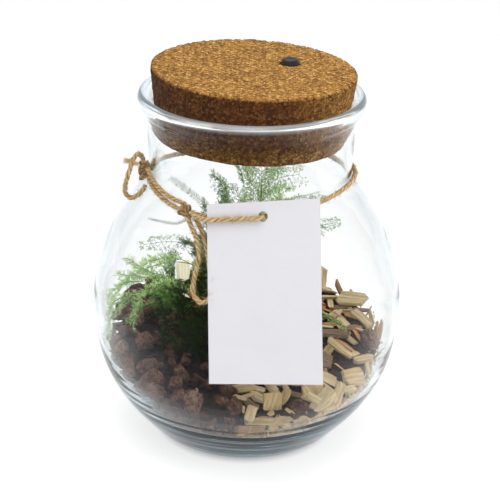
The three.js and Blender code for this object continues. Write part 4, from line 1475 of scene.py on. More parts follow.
@dataclass
class LavaSide(Bed):
    """Lava rock on the -X side."""

    rocks: int = 14
    variants: int = 12
    pile: tuple[Spot, ...] = (
        ((-67.5, 24, 52), 11), ((-64.5, 29, 56), 11), ((-61.5, 34, 58), 11), ((-66, 16, 52), 11), ((-59, 26, 58), 12),
        ((-57, 38, 59), 12), ((-62, 21, 56), 12), ((-56, 31, 60), 11), ((-66.5, 9, 50), 11), ((-61, 12, 54), 11),
        ((-52, 26, 58), 12), ((-54, 18, 57), 12), ((-63, 27, 51), 11), ((-58, 33, 52), 12), ((-55, 26, 51), 12),
        ((-64, 15, 47), 11),
    )  # where it is heaped up against the glass
    clear: tuple[Place, ...] = ((-35.5, 47, 59), (-35.2, 38, 59))  # in front of the ribbed chip

    def rock_shape(self, rng: Generator, divisions: int) -> tuple[Rows, Faces]:
        """Makes an angular rock with bitten hollows, about one unit across.

        Args:
            rng: The source of chance.
            divisions: How fine it is.

        Returns:
            Its vertices and faces.
        """
        ball = bmesh.new()
        bmesh.ops.create_icosphere(ball, subdivisions=divisions, radius=0.56)
        places = np.array([v.co[:] for v in ball.verts])
        faces = [tuple(v.index for v in f.verts) for f in ball.faces]
        ball.free()
        for _ in range(13):
            places = self.cut(places, rng.normal(size=3), rng.uniform(0.3, 0.46), 0.9)
        for _ in range(8):
            centre, wide = unit(rng.normal(size=3)) * 0.44, rng.uniform(0.13, 0.3)
            places -= centre * (held(1 - np.linalg.norm(places - centre, axis=1) / wide) * wide * 1.3)[:, None]
        shift = rng.uniform(-50, 50, 3)
        places *= (1 + 0.16 * fractal(places + shift, 3.6, 2) + 0.12 * fractal(places + shift, 9.0, 2))[:, None]
        places *= (1 + 0.035 * rng.normal(size=len(places)))[:, None]
        return places, faces

    def cut(self, places: Rows, direction: Rows, reach: float, share: float) -> Rows:
        """Flattens a share of what lies past a plane that stands off at a reach, which leaves a facet."""
        direction = unit(direction)
        return places - np.clip(places @ direction - reach, 0, None)[:, None] * direction * share

    def build_heroes(self, material: Material) -> list[Place]:
        """Makes each rock that the photograph shows on its own.

        Args:
            material: The finish.

        Returns:
            Their middles, in millimetres.
        """
        middles = []
        for number in range(1, self.rocks + 1):
            rock = remade(f"lava_rock_{number:02d}", f"porous_rock_{number:02d}", 0.36)
            places, outward = coordinates(rock) / MM, normals(rock)
            rng = np.random.default_rng(700 + number)
            own = places + number * 31.7
            lumps = fractal(own, 0.24, 2) * 0.9
            craters = held(0.5 - cell_distance(own, 0.36)) ** 1.1
            pores = held(0.44 - cell_distance(own + 13, 0.95))
            grit = fractal(own + 60, 1.3, 2) * 0.22
            places += outward * (lumps - craters * 2.4 - pores * 1.1 + grit)[:, None]
            middle = places.mean(axis=0)
            for _ in range(9):
                way = unit(rng.normal(size=3))
                reach = float(((places - middle) @ way).max()) * rng.uniform(0.74, 0.9)
                places = self.cut(places - middle, way, reach, 0.8) + middle
            move_to(rock, self.jar.hold(places) * MM)
            # Painted light: faces turned up and forward get a lighter tone.
            store(rock, "tone", rng.uniform(0.02, 0.26) + 0.68 * painted_light_share(rock) - 0.08)
            finished(rock, "lava", f"lava_rock_{number:02d}", material=material)
            middles.append(tuple(places.mean(axis=0)))
        return middles

    def build_fill(self, material: Material, taken: Sequence[Place]) -> None:
        """Makes the rest of the rocks, against the glass and on the surface.

        Args:
            material: The finish.
            taken: The middles of the rocks that are made, in millimetres.
        """
        rng = np.random.default_rng(self.seed)
        add = partial(self.scatter_rocks, rng, material, [*taken, *self.clear])
        close, wall, top = (7.0, 14.5), (93, 267), (96, 264)
        add("rock_wall", 3, self.jittered(rng, close, 0.87, wall))
        behind = [((x * 0.89, y * 0.89, z), size) for (x, y, z), size in self.jittered(rng, close, 0.78, wall)]
        spots = [*self.pile, *behind, *self.jittered(rng, (7, 13), 0.84, top, on_wall=False)]
        # The pile, the rocks behind and those on top get more painted shade.
        add("rock_fill", 2, spots, settle=False, shade=0.16)
        add("rock_crumbs", 2, self.jittered(rng, (2.4, 5.0), 0.95, wall)[:90])

    def scatter_rocks(
        self,
        rng: Generator,
        material: Material,
        taken: Sequence[Place],
        name: str,
        divisions: int,
        spots: Sequence[Spot],
        settle: bool = True,
        shade: float = 0.06,
    ) -> None:
        """Makes one piece of many loose rocks.

        Args:
            rng: The source of chance.
            material: The finish.
            taken: The middles of the rocks that are made on their own.
            name: The piece's name.
            divisions: How fine the rocks are.
            spots: Their middles and sizes, in millimetres.
            settle: Whether their tips rest on the glass.
            shade: How much darker than the lightest they are, as painted shade.
        """
        shapes, scatter = Shapes("rock"), Scatter()
        for _ in range(self.variants):
            shapes.add(*self.rock_shape(rng, divisions), smooth=False)
        for place, size in spots:
            if any(math.dist(place, other) < size * 0.5 + 4.6 for other in taken):
                continue
            stretch = rng.uniform(0.65, 1.25, 3) * size
            spin, pick = rng.uniform(0, 2 * math.pi, 3), int(rng.integers(self.variants))
            if settle:
                place = self.settled(shapes.made[pick], place, spin, stretch)
            scatter.put(place, spin, stretch, pick, rng.uniform(0, 1))
        piece = scatter.grown(name, self.tree, shapes, material)
        shapes.clear()
        move_to(piece, self.jar.hold(coordinates(piece) / MM) * MM)
        # Painted light on faces turned up and forward, and painted shade over the whole piece.
        store(piece, "tone", stored(piece, "tone") * 0.22 + 0.68 * painted_light_share(piece) - shade)
        finished(piece, "lava")

    def build(self) -> None:
        """Builds the rock side."""
        material = PorousLava().material()
        self.build_fill(material, self.build_heroes(material))
        self.core("lava_bed", "rock_core", 4.0, 6.5, "lava")


@dataclass
class ChipSide(Bed):
    """Wood chips on the +X side."""

    variants: int = 14
    tones: tuple[float, ...] = (0.1, 0.05, 0.3, 0.92, 0.35, 0.3, 0.9, 0.4, 0.25, 0.2, 0.5, 0.74, 0.45)
    loose_tones: Span = (0.05, 0.2, 0.35, 0.5, 0.62, 0.78, 0.92)
    loose_shares: Span = (0.2, 0.22, 0.2, 0.14, 0.1, 0.07, 0.07)
    seed: int = 23

    def chip_shape(self, rng: Generator) -> tuple[Rows, Faces]:
        """Makes a split piece with ragged ends, about one unit each way.

        Args:
            rng: The source of chance.

        Returns:
            Its vertices and faces.
        """
        sides, rings = 8, 6
        turn = np.sort(rng.uniform(0, 2 * math.pi, sides) * 0.35 + np.arange(sides) / sides * 2 * math.pi * 0.65)
        square = np.column_stack([np.cos(turn), np.sin(turn)])
        square /= np.abs(square).max(axis=1)[:, None] ** rng.uniform(0.6, 0.95)
        square *= 0.5
        near, far = rng.uniform(0, 0.16, (2, sides))
        bend = rng.uniform(-0.5, 0.5)
        rows = []
        for share in np.linspace(0, 1, rings):
            ends = -near * (1 - share) ** 3 + far * share**3
            size = 1 - 0.22 * abs(2 * share - 1) ** 3 * rng.uniform(0.4, 1.4)
            y, z = (square * size + rng.uniform(-0.045, 0.045, (sides, 2))).T
            rows.append(np.column_stack([share - 0.5 - ends, y, z + bend * (share - 0.5) ** 2]))
        tips = [[[x, 0, row[:, 2].mean()]] for x, row in ((-0.42, rows[0]), (0.42, rows[-1]))]
        return np.vstack([*rows, *tips]), tube_faces(rings, sides)

    def grained(self, chip: Object, own: Rows, lit: Any, tone: Any) -> None:
        """Stores what a chip's finish reads.

        Args:
            chip: The chip.
            own: Its own coordinates, in millimetres.
            lit: How much painted light it gets.
            tone: Its tone on the finish's ramp.
        """
        store(chip, "lit", lit)
        store(chip, "grain", own * MM)
        store(chip, "tone", tone)

    def build_heroes(self, material: Material) -> list[Place]:
        """Makes each chip that the photograph shows on its own.

        Args:
            material: The finish.

        Returns:
            Their middles, in millimetres.
        """
        middles = []
        for number, tone in enumerate(self.tones, 1):
            chip = remade(f"wood_chip_{number:02d}", f"split_chip_{number:02d}", 0.34)
            places = coordinates(chip) / MM
            middle, axes = places.mean(axis=0), principal_axes(places)
            own, seed = (places - middle) @ axes, number * 17.3
            x, y, z = own.T
            strands = fractal(own * np.array([0.09, 1.1, 1.6]) + seed, 1.0, 3)
            broad = fractal(own * np.array([0.1, 0.35, 0.35]) + seed + 5, 1.0, 2)
            near_end = held((np.abs(x) / np.abs(x).max() - 0.78) / 0.22)
            torn = fractal(np.column_stack([y * 1.3, z * 1.3, np.sign(x) * 4 + seed]), 1.0, 2)
            places += normals(chip) * (strands * 0.22 + broad * 0.3 - 0.1)[:, None]
            places += axes[:, 0] * (np.sign(x) * near_end * (torn * 1.5 - 0.3))[:, None]
            move_to(chip, self.jar.hold(places) * MM)
            self.grained(chip, own, painted_light_share(chip), tone)
            finished(chip, "chips", f"wood_chip_{number:02d}", material=material)
            middles.append(tuple(middle))
        return middles

    def build_ribbed(self) -> None:
        """Makes the pale ribbed chip."""
        chip = remade("ribbed_wood_chip", "ribbed_chip", 0.3)
        places = coordinates(chip) / MM
        own = (places - places.mean(axis=0)) @ principal_axes(places)
        places += normals(chip) * (fractal(own * np.array([0.3, 1.0, 1.0]), 1.0, 2) * 0.14)[:, None]
        move_to(chip, places * MM)
        pale = ((0.0, (0.98, 0.95, 0.76)), (1.0, (0.95, 0.9, 0.68)))
        # Painted glow: the pale chip gives off light, and it gets full painted light.
        finish = SplitWood(name="pale_ribbed_wood", glow=0.4, groove=(0.85, 0.8, 0.62), stops=pale)
        self.grained(chip, own, 1.0, 0.0)
        finished(chip, "chips", "ribbed_wood_chip", material=finish.material())

    def build_fill(self, material: Material, taken: Sequence[Place]) -> None:
        """Makes the rest of the chips, slivers and crumbs.

        Args:
            material: The finish.
            taken: The middles of the chips that are made, in millimetres.
        """
        rng = np.random.default_rng(self.seed)
        shapes, scatter, wall = Shapes("chip"), Scatter(), (-88, 88)
        for _ in range(self.variants):
            shapes.add(*self.chip_shape(rng), smooth=False)
        groups = [
            (self.jittered(rng, (9, 21), 0.4, wall), True, 0.2),
            (self.jittered(rng, (8, 21), 0.4, (-92, 92), on_wall=False), False, 0.16),
            (self.jittered(rng, (1.6, 4.5), 0.75, wall)[:260], True, 0.45),
            (self.near_floor(rng), True, 0.5),
        ]
        for place, size, on_wall, thin in ((*spot, *kind) for spots, *kind in groups for spot in spots):
            if size > 2.5 and any(math.dist(place, other) < 4.0 + 0.3 * size for other in taken):
                continue
            outward = Vector((place[0], place[1], 0 if on_wall else 260)).normalized()
            outward = (outward + Vector(rng.uniform(-0.35, 0.35, 3))).normalized()
            across = outward.orthogonal().normalized()
            across.rotate(Matrix.Rotation(rng.uniform(0, 2 * math.pi), 3, outward))
            turn = Matrix((across, outward.cross(across), outward)).transposed().to_euler()
            stretch = (size, size * rng.uniform(0.22, 0.55), max(size * thin * rng.uniform(0.6, 1.3), 0.8))
            tone = float(rng.choice(self.loose_tones, p=self.loose_shares))
            pick = int(rng.integers(self.variants))
            if on_wall:
                place = self.settled(shapes.made[pick], place, turn, stretch)
            scatter.put(place, turn, stretch, pick, tone + rng.uniform(-0.04, 0.04))
        fill = scatter.grown("chip_fill", self.tree, shapes, material)
        shapes.clear()
        own = stored(fill, "local", 3) * stored(fill, "size", 3)
        move_to(fill, self.jar.hold(coordinates(fill) / MM) * MM)
        self.grained(fill, own, painted_light_share(fill), stored(fill, "tone"))
        finished(fill, "chips")

    def near_floor(self, rng: Generator) -> list[Spot]:
        """Spreads the dust and crumbs that have sunk to the bottom.

        Args:
            rng: The source of chance.

        Returns:
            Places and sizes, in millimetres.
        """
        turns, heights, sizes = (-100, 100), (10.5, 13.5), (1.0, 3.2)
        return [
            (self.near_wall(rng.uniform(*turns), rng.uniform(*heights), 1.4), rng.uniform(*sizes)) for _ in range(240)
        ]

    def build(self) -> None:
        """Builds the chip side."""
        material = SplitWood().material()
        middles = self.build_heroes(material)
        for rock in ("lava_rock_13", "lava_rock_14"):
            lowest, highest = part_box(rock)
            middles.append(tuple((lowest + highest) / 2 / MM))
        self.build_ribbed()
        self.build_fill(material, middles)
        self.core("chip_bed", "chip_core", 3.0, 4.5, "chips")


@dataclass
class RootBall:
    """The soil that the fern stands in, and the woody crown on it."""

    crumb: float = 0.9  # mm, how rough the soil is
    bark: float = 0.6  # and the crown

    def build(self) -> None:
        """Builds both."""
        ball = remade("root_ball", "soil_ball", 1.1)
        places = coordinates(ball) / MM
        move_to(ball, (places + normals(ball) * (fractal(places, 0.3, 3) * self.crumb - 0.2)[:, None]) * MM)
        finished(ball, "soil", "root_ball", material=DarkSoil().material())
        crown = remade("fern_crown", "woody_crown", 0.5)
        places = coordinates(crown) / MM
        move_to(crown, (places + normals(crown) * (fractal(places, 0.6, 3) * self.bark)[:, None]) * MM)
        bark = Moulded("crown_bark", (0.06, 0.045, 0.02), 0.9, speck=0.6)
        finished(crown, "fern", "fern_crown", material=bark.material())


# ---- the fern


class Habit(Enum):
    """How a spray carries its needles."""

    LACE = "side twigs in one plane, with small stars of needles"
    PLUME = "short twigs all round the stem, thick with needles"
    COMB = "needles in two rows on a bare stem"


@dataclass(frozen=True)
class Spray:
    """One frond: its stem, how far its twigs reach, its habit, and the plane that it lies open in."""

    name: str
    stem: tuple[Place, ...]
    reach: float
    bare: float  # share of the stem without twigs
    # The tone is low for sprays deep in the plant, where it stands for painted shade.
    tone: float
    needle: float  # length of its needles
    habit: Habit = Habit.PLUME
    open: Place = (1, 0, 0)


FRONDS = (
    Spray("top", ((1, 2, 82), (4, -1, 110), (6, -1, 132), (6, 5, 143), (4, 22, 150)),
           16, 0.68, 1.0, 1.4, Habit.LACE, (1, 0, -0.1)),
    Spray("right", ((7, 2, 84), (13, -2, 110), (17, -4, 125), (25, -5, 129.5), (36, -6, 132)),
           5, 0.6, 0.85, 1.9, Habit.LACE, (0.1, 0.7, 0.7)),
    Spray("low_right", ((9, 10, 80), (18, 14, 98), (30, 13, 107), (46, 11, 112)),
           5, 0.6, 0.85, 1.6, Habit.LACE, (-0.1, 0.8, 0.5)),
    Spray("back", ((2, 18, 80), (0, 30, 98), (-8, 40, 110), (-16, 44, 118)),
           12, 0.4, 0.7, 1.8, Habit.LACE, (1, 0.3, 0)),
    Spray("left", ((-12, 12, 82), (-20, 10, 100), (-29, 6, 113), (-39, 3, 112), (-52, 3, 114)),
           2.4, 0.45, 0.55, 2.4, Habit.COMB, (0, 0.5, 0.8)),
    Spray("wall", ((-16, 8, 72), (-26, 2, 88), (-42, -6, 94), (-57, -10, 89), (-66, -12, 80), (-70, -13, 69)),
           2.6, 0.4, 0.92, 2.4, Habit.PLUME, (0, 0.9, 0.4)),
    Spray("mid_left", ((-15, -1, 76), (-22, -4, 93), (-30, -5, 103), (-42, -6, 105), (-53, -7, 104)),
           5, 0.5, 0.85, 1.6, Habit.LACE, (0, 0.7, 0.7)),
    Spray("low_left", ((-14, -9, 63), (-25, -19, 74), (-40, -31, 82), (-51, -38, 83), (-58, -41, 76)),
           3.6, 0.3, 0.55, 2.6, Habit.PLUME, (0.5, -0.7, 0.5)),
    Spray("middle", ((-9, -13, 62), (-15, -21, 74), (-20, -28, 88), (-24, -32, 101)),
           5, 0.2, 0.18, 2.8, Habit.PLUME, (0.9, -0.2, 0)),
    Spray("left_tip", ((-7, -6, 86), (-11, -9, 112), (-11.5, -11, 130), (-14, -11, 140), (-19, -12, 147)),
           3.4, 0.6, 0.6, 2.8, Habit.PLUME, (0.8, 0.2, 0.5)),
    Spray("high_left", ((-9, 4, 88), (-15, -1, 110), (-21, -6, 126), (-30, -7, 134), (-40, -7, 141)),
           3.6, 0.6, 0.6, 2.4, Habit.COMB, (0.5, 0.3, 0.8)),
)
UNDERGROWTH = (
    Spray("fluffy", ((-12, -4, 72), (-22, -12, 90), (-33, -16, 99.5), (-40, -16, 100.5), (-47, -16, 99.5),
           (-53, -16, 96)), 6, 0.6, 1.0, 3.4),
    Spray("fluffy_low", ((-14, -4, 70), (-24, -12, 80), (-35, -16, 86), (-45, -16, 92), (-53, -16, 91)),
           4.5, 0.5, 0.85, 3.0),
    Spray("star_high", ((-24, -6, 78), (-38, -12, 85), (-51, -16, 94), (-57, -16, 97), (-60.5, -16, 100)),
           4.6, 0.78, 0.95, 3.6),
    Spray("star_mid", ((-24, -6, 76), (-40, -12, 84), (-56, -15, 89.5), (-63, -16, 90), (-66, -16, 91)),
           4.4, 0.78, 0.92, 3.4),
    Spray("star_low", ((-24, -6, 74), (-40, -12, 83), (-60, -15, 86), (-68, -16, 82), (-71, -16, 77)),
           4.2, 0.74, 0.95, 3.2),
    Spray("edge_high", ((-24, -8, 72), (-44, -14, 80), (-63, -17, 79), (-70, -18, 73), (-72, -18, 66)),
           3.4, 0.72, 0.92, 3.0),
    Spray("edge_low", ((-26, -8, 76), (-50, -16, 80), (-66, -19, 72), (-71, -20, 64), (-72.5, -20, 56)),
           3.0, 0.74, 0.9, 2.8),
    Spray("bright", ((-16, -12, 70), (-30, -26, 90), (-42, -38, 96), (-50, -45, 94.5), (-54.5, -49, 88),
           (-56, -51, 79.5)), 3.4, 0.55, 0.8, 3.4),
    Spray("over_rock", ((-14, -12, 70), (-28, -26, 82), (-42, -36, 88), (-52, -38, 90), (-60, -40, 86)),
           3.4, 0.6, 0.55, 3.0),
    Spray("by_chip_one", ((-14, 0, 62), (-28, 0, 64), (-40.3, 0, 67), (-39.9, 8, 74), (-39.4, 14, 81)),
           6.5, 0.3, 0.3, 3.2),
    Spray("by_chip_two", ((-12, -4, 62), (-20, -4, 68), (-24.6, 0, 79), (-25, 6, 88), (-26.8, 10, 96)),
           5.5, 0.3, 0.26, 3.2),
    Spray("by_chip_three", ((-14, -6, 60), (-26, -8, 66), (-36, -6, 73), (-33, 0, 76), (-28, 8, 79)),
           5.5, 0.3, 0.2, 3.2),
    Spray("by_chip_four", ((-12, 2, 66), (-20, 0, 84), (-25, 4, 95), (-30, 10, 98), (-36, 16, 96)), 4.5, 0.4, 0.4, 3.0),
    Spray("by_chip_five", ((-10, -4, 74), (-17, -8, 92), (-21, -8, 104), (-23, -8, 110)), 6, 0.45, 0.42, 3.0),
    Spray("by_chip_six", ((-14, -16, 66), (-22, -20, 72), (-25.3, -14, 86.8), (-25, -10, 95.2), (-26.3, -6, 102.4)),
           6.5, 0.4, 0.42, 3.2),
    Spray("by_chip_seven", ((-12, -16, 70), (-20, -16, 82), (-21.3, -12, 92.8), (-22.1, -8, 101.1),
           (-24.9, -4, 107.2)), 5.5, 0.4, 0.5, 3.0),
    Spray("by_chip_eight", ((-20, -14, 66), (-32, -12, 72), (-40.2, -10, 78), (-39.6, -6, 83),
           (-38.9, -2, 88), (-37.6, 2, 94)), 6.5, 0.4, 0.42, 3.2),
    Spray("by_chip_nine", ((-24, -14, 68), (-38, -12, 74), (-45, -10, 79.9), (-43.2, -6, 85), (-41.4, -2, 89),
           (-39.5, 2, 95)), 6.5, 0.4, 0.6, 3.2),
    # Dark sprays deep in the mass: their near-black tone is painted shade.
    Spray("dark_one", ((-10, -14, 60), (-20, -26, 66), (-24, -30, 80), (-23, -30, 96)), 10, 0.15, 0.1, 4.0),
    Spray("dark_two", ((-8, -14, 60), (-20, -32, 64), (-30, -36, 74), (-34, -36, 88)), 10, 0.15, 0.06, 4.0),
    Spray("dark_three", ((-6, -14, 60), (-12, -36, 62), (-18, -44, 72), (-20, -46, 86)), 9, 0.2, 0.05, 4.0),
    Spray("dark_four", ((-12, -8, 62), (-26, -20, 74), (-33, -28, 88), (-34, -30, 98)), 9, 0.2, 0.16, 3.6),
    Spray("dark_five", ((-10, -18, 58), (-24, -38, 60), (-34, -44, 66), (-42, -46, 72)), 8, 0.2, 0.08, 4.0),
    Spray("dark_six", ((-8, -10, 66), (-15, -22, 82), (-19, -28, 96), (-21, -28, 106)), 8, 0.25, 0.22, 3.4),
    Spray("dark_seven", ((-10, -16, 58), (-22, -34, 60), (-26, -46, 68), (-28, -50, 78)), 8, 0.25, 0.07, 3.8),
    Spray("dark_eight", ((-12, -12, 60), (-30, -26, 66), (-40, -32, 74), (-43, -34, 84)), 8, 0.25, 0.16, 3.6),
    Spray("by_tag", ((-10, -4, 90), (-19, -8, 110), (-22.5, -8, 121), (-22.5, -8, 129)), 3.4, 0.6, 0.6, 2.8),
    Spray("tuft_low", ((2, 0, 90), (3, -4, 112), (7, -6, 126), (14, -6, 130.5), (21, -6, 130.5)), 3.6, 0.72, 0.9, 3.0),
    Spray("tuft_mid", ((4, 0, 90), (9, -4, 112), (13, -6, 126), (15.2, -6, 137)), 2.6, 0.76, 0.9, 2.6),
    Spray("tuft_left", ((-4, 0, 90), (-7, -8, 112), (-7, -10, 124), (-2, -10, 132)), 4.0, 0.66, 0.75, 2.8),
    Spray("tuft_far", ((-4, 0, 90), (-9, -8, 112), (-13, -10, 124), (-14, -10, 131)), 4.2, 0.7, 0.7, 2.8),
    Spray("clump_top", ((-2, 2, 92), (-3, 2, 118), (-3, 4, 134), (-5, 4, 143), (-12, 4, 148)), 3.4, 0.84, 0.75, 2.4),
    Spray("clump_high", ((0, 2, 92), (1, 2, 118), (0, 4, 136), (-2, 4, 144), (-5, 4, 149)), 3.4, 0.86, 0.75, 2.4),
    Spray("fan_right", ((3, 0, 95), (5, 0, 118), (6.4, 2, 130), (13, 6, 137.5), (25, 6, 140.5)),
           10, 0.55, 1.0, 1.7, Habit.LACE, (-0.2, 0.4, 0.9)),
    Spray("fan_middle", ((2, 0, 95), (3, 2, 120), (2, 4, 132), (6, 6, 141), (12, 6, 146)),
           9, 0.62, 1.0, 1.7, Habit.LACE, (0.9, 0.1, -0.3)),
    Spray("fan_low", ((4, 0, 95), (5, 0, 120), (8.4, 2, 131.2), (15.5, 2, 134.7), (21.7, 2, 134.3)),
           2.6, 0.72, 0.9, 2.4),
    Spray("trunk", ((-6, 0, 95), (-10, -4, 118), (-11, -4, 126), (-12, -4, 134), (-14.2, -4, 140.5)),
           2.8, 0.6, 0.7, 2.4),
    Spray("faint", ((6, 0, 95), (11, -2, 118), (20.7, -4, 130.1), (28.8, -4, 133), (35.8, -4, 135.4)),
           2.4, 0.66, 0.9, 2.4, Habit.COMB, (0, 0.5, 0.8)),
    Spray("over_chips", ((12, 4, 66), (28, 0, 69), (40, -5, 66), (46, -7, 62.5), (52, -7, 59.5)), 3.2, 0.5, 0.6, 3.0),
    Spray("behind", ((2, 20, 70), (-4, 34, 80), (-14, 44, 84), (-22, 48, 80)), 5, 0.3, 0.55, 3.2),
    Spray("behind_right", ((8, 16, 72), (18, 28, 88), (28, 34, 98), (38, 32, 100)),
           9, 0.4, 0.75, 2.2, Habit.LACE, (0.5, 0.7, 0.4)),
    Spray("front", ((4, -8, 66), (10, -18, 84), (14, -24, 100), (10, -26, 114)),
           10, 0.3, 0.65, 2.2, Habit.LACE, (0.9, 0.3, 0.1)),
)


@dataclass
class Growth:
    """Stems as edges and needles as points, gathered for one piece."""

    places: list[Rows] = field(default_factory=list)
    thick: list[float] = field(default_factory=list)
    edges: list[tuple[int, int]] = field(default_factory=list)
    needles: Scatter = field(default_factory=Scatter)

    def line(self, points: Rows, start: float, end: float) -> None:
        """Adds a stem that tapers.

        Args:
            points: Its points, in millimetres.
            start: Its thickness where it starts.
            end: And where it ends.
        """
        base, last = len(self.places), len(points) - 1
        self.places += list(points)
        self.thick += [start + (end - start) * (number / last) for number in range(len(points))]
        self.edges += [(base + number, base + number + 1) for number in range(last)]

    def stems(self, name: str, tree: GeometryTree, material: Material) -> Object:
        """Turns the stems into one mesh."""
        skeleton = new_object(name, np.array(self.places) * MM, [], self.edges)
        store(skeleton, "thick", np.array(self.thick))
        return tree.run(skeleton, Sides=3, Thickness=MM, Material=material)


@dataclass(kw_only=True)
class Frond(Growth):
    """A spray as it grows, clear of the glass and of the gap through which the ribbed chip shows."""

    jar: Jar
    spray: Spray
    rng: Generator
    gap: tuple[Place, Place] = ((-35.8, 54.8, 63.6), (1.03, -828.45, 451.19))  # from the ribbed chip to the camera
    gap_half: Span = (4.0, 4.6)  # mm, across and up

    def in_gap(self, place: Rows) -> bool:
        """Whether a place lies in the gap.

        Args:
            place: The place, in millimetres.

        Returns:
            Whether it does.
        """
        start, end = (np.array(point) for point in self.gap)
        along, offset = unit(end - start), place - start
        right = unit(np.cross(along, (0.0, 0.0, 1.0)))
        return bool(abs(offset @ right) < self.gap_half[0] and abs(offset @ np.cross(right, along)) < self.gap_half[1])

    def in_glass(self, points: Rows) -> Rows:
        """The part of a twig before it would reach the glass or the gap."""
        inside = [self.jar.holds(point, 1.2) and not self.in_gap(point) for point in points]
        return points if all(inside) else points[: max(inside.index(False), 1)]

    def needle(self, place: Rows, way: Rows, length: float, tone: float) -> None:
        """Adds a needle if it stays clear of the glass and the gap.

        Args:
            place: Where it stands, in millimetres.
            way: The way it points.
            length: Its length, in millimetres.
            tone: Its tone, held to 0 to 1.
        """
        reach = unit(way) * length
        clear = self.jar.holds(place, 0.8) and self.jar.holds(place + reach, 0.8)
        if clear and not self.in_gap(place + unit(way) * length * 0.6):
            spin = Vector(unit(way)).to_track_quat("Z", "Y").to_euler()
            self.needles.put(place, spin, (1.0, 1.0, length), int(self.rng.integers(3)), min(max(tone, 0.0), 1.0))

    def lace_twig(self, root: Rows, ahead: Rows, flat: Rows, length: float) -> None:
        """Adds a flat side twig with branchlets that end in small stars of needles.

        Args:
            root: Where it leaves the stem, in millimetres.
            ahead: The way it grows.
            flat: The other way that its branchlets lie in.
            length: Its length, in millimetres.
        """
        spray, draw = self.spray, self.rng.uniform
        steps = max(int(length / 1.9), 2)
        share = np.linspace(0, 1, steps + 1)[:, None]
        droop = np.array([0, 0, -1.0]) * (share**2) * length * 0.12
        points = self.in_glass(root + ahead * share * length + flat * (share**2) * length * draw(-0.1, 0.25) + droop)
        if len(points) < 2:
            return
        self.line(points, 0.11, 0.05)
        for step, point in enumerate(points[1:], 1):
            reach = (1 - 0.6 * (step / steps)) * min(length * 0.38, 4.2) * draw(0.6, 1.15)
            for hand in (-1, 1):
                out = unit(flat * hand * 0.85 + ahead * 0.8 + draw(-0.25, 0.25, 3))
                self.line(np.array([point, point + out * reach]), 0.05, 0.035)
                count = max(round(reach / 1.3), 1)
                for number in np.repeat(range(1, count + 1), 4):
                    aside = flat * self.rng.normal() * 0.55
                    way = out * 0.5 + aside + ahead * self.rng.normal() * 0.45 + self.rng.normal(size=3) * 0.22
                    size = spray.needle * draw(0.6, 1.1)
                    self.needle(point + out * reach * number / count, way, size, spray.tone + draw(-0.3, 0.15))

    def plume_twig(self, root: Rows, ahead: Rows, length: float, painted_light_lift: float) -> None:
        """Adds a short twig with needles all round it.

        Args:
            root: Where it leaves the stem, in millimetres.
            ahead: The way it grows.
            length: Its length, in millimetres.
            painted_light_lift: How much lighter than the spray it is: painted light on twigs that point up, more
                towards the stem's end.
        """
        spray, draw = self.spray, self.rng.uniform
        points = self.in_glass(root + ahead * np.linspace(0, 1, max(int(length / 0.6), 3))[:, None] * length)
        if len(points) < 2:
            return
        self.line(points, 0.07, 0.04)
        for number in np.repeat(range(len(points)), 3):
            share = number / len(points)
            way = ahead * (0.75 + 0.5 * share) + self.rng.normal(size=3) * 0.62
            tone = spray.tone + painted_light_lift + 0.14 * share + draw(-0.2, 0.12)
            self.needle(points[number], way, spray.needle * draw(0.5, 1.1) * (1 - 0.35 * share), tone)

    def fill(self, line: Rows) -> None:
        """Sets the twigs and needles along the stem, by the spray's habit.

        Args:
            line: The stem's points, in millimetres.
        """
        spray, draw = self.spray, self.rng.uniform
        side = unit(np.array(spray.open, float))
        ways = np.gradient(line, axis=0)
        ways /= np.linalg.norm(ways, axis=1)[:, None]
        spacing = {Habit.LACE: 2.6, Habit.PLUME: 0.62, Habit.COMB: 0.5}[spray.habit]
        count = max(int(length_of(line) * (1 - spray.bare) / spacing), 5)
        for number in range(count + 1):
            share = number / count
            index = min(int((spray.bare + (1 - spray.bare) * share) * (len(line) - 1)), len(line) - 1)
            root, ahead = line[index], ways[index]
            if spray.habit is Habit.PLUME:
                out = self.rng.normal(size=3)
                out = unit(out - ahead * (out @ ahead))
                reach = spray.reach * min(0.45 + 1.6 * share, 1.0) * (1 - 0.45 * share) * draw(0.5, 1.15)
                # Painted light: twigs that point up get a lighter tone.
                self.plume_twig(root, unit(ahead * 0.75 + out * 0.9), reach, 0.1 * out[2] + 0.1 * share)
                continue
            for hand in (-1, 1):
                if spray.habit is Habit.COMB:
                    way = side * hand + ahead * 0.55 + self.rng.normal(size=3) * 0.16
                    size = spray.reach * (1 - 0.5 * share) * draw(0.7, 1.1)
                    self.needle(root, way, size, spray.tone + draw(-0.2, 0.1))
                    continue
                reach = spray.reach * (0.35 + 0.65 * math.sin(math.pi * min(0.22 + 0.72 * share, 1.0)))
                way = unit(side * hand * 0.9 + ahead * 0.7 + draw(-0.2, 0.2, 3))
                self.lace_twig(root, way, unit(ahead - way * (ahead @ way)), reach * draw(0.75, 1.1))


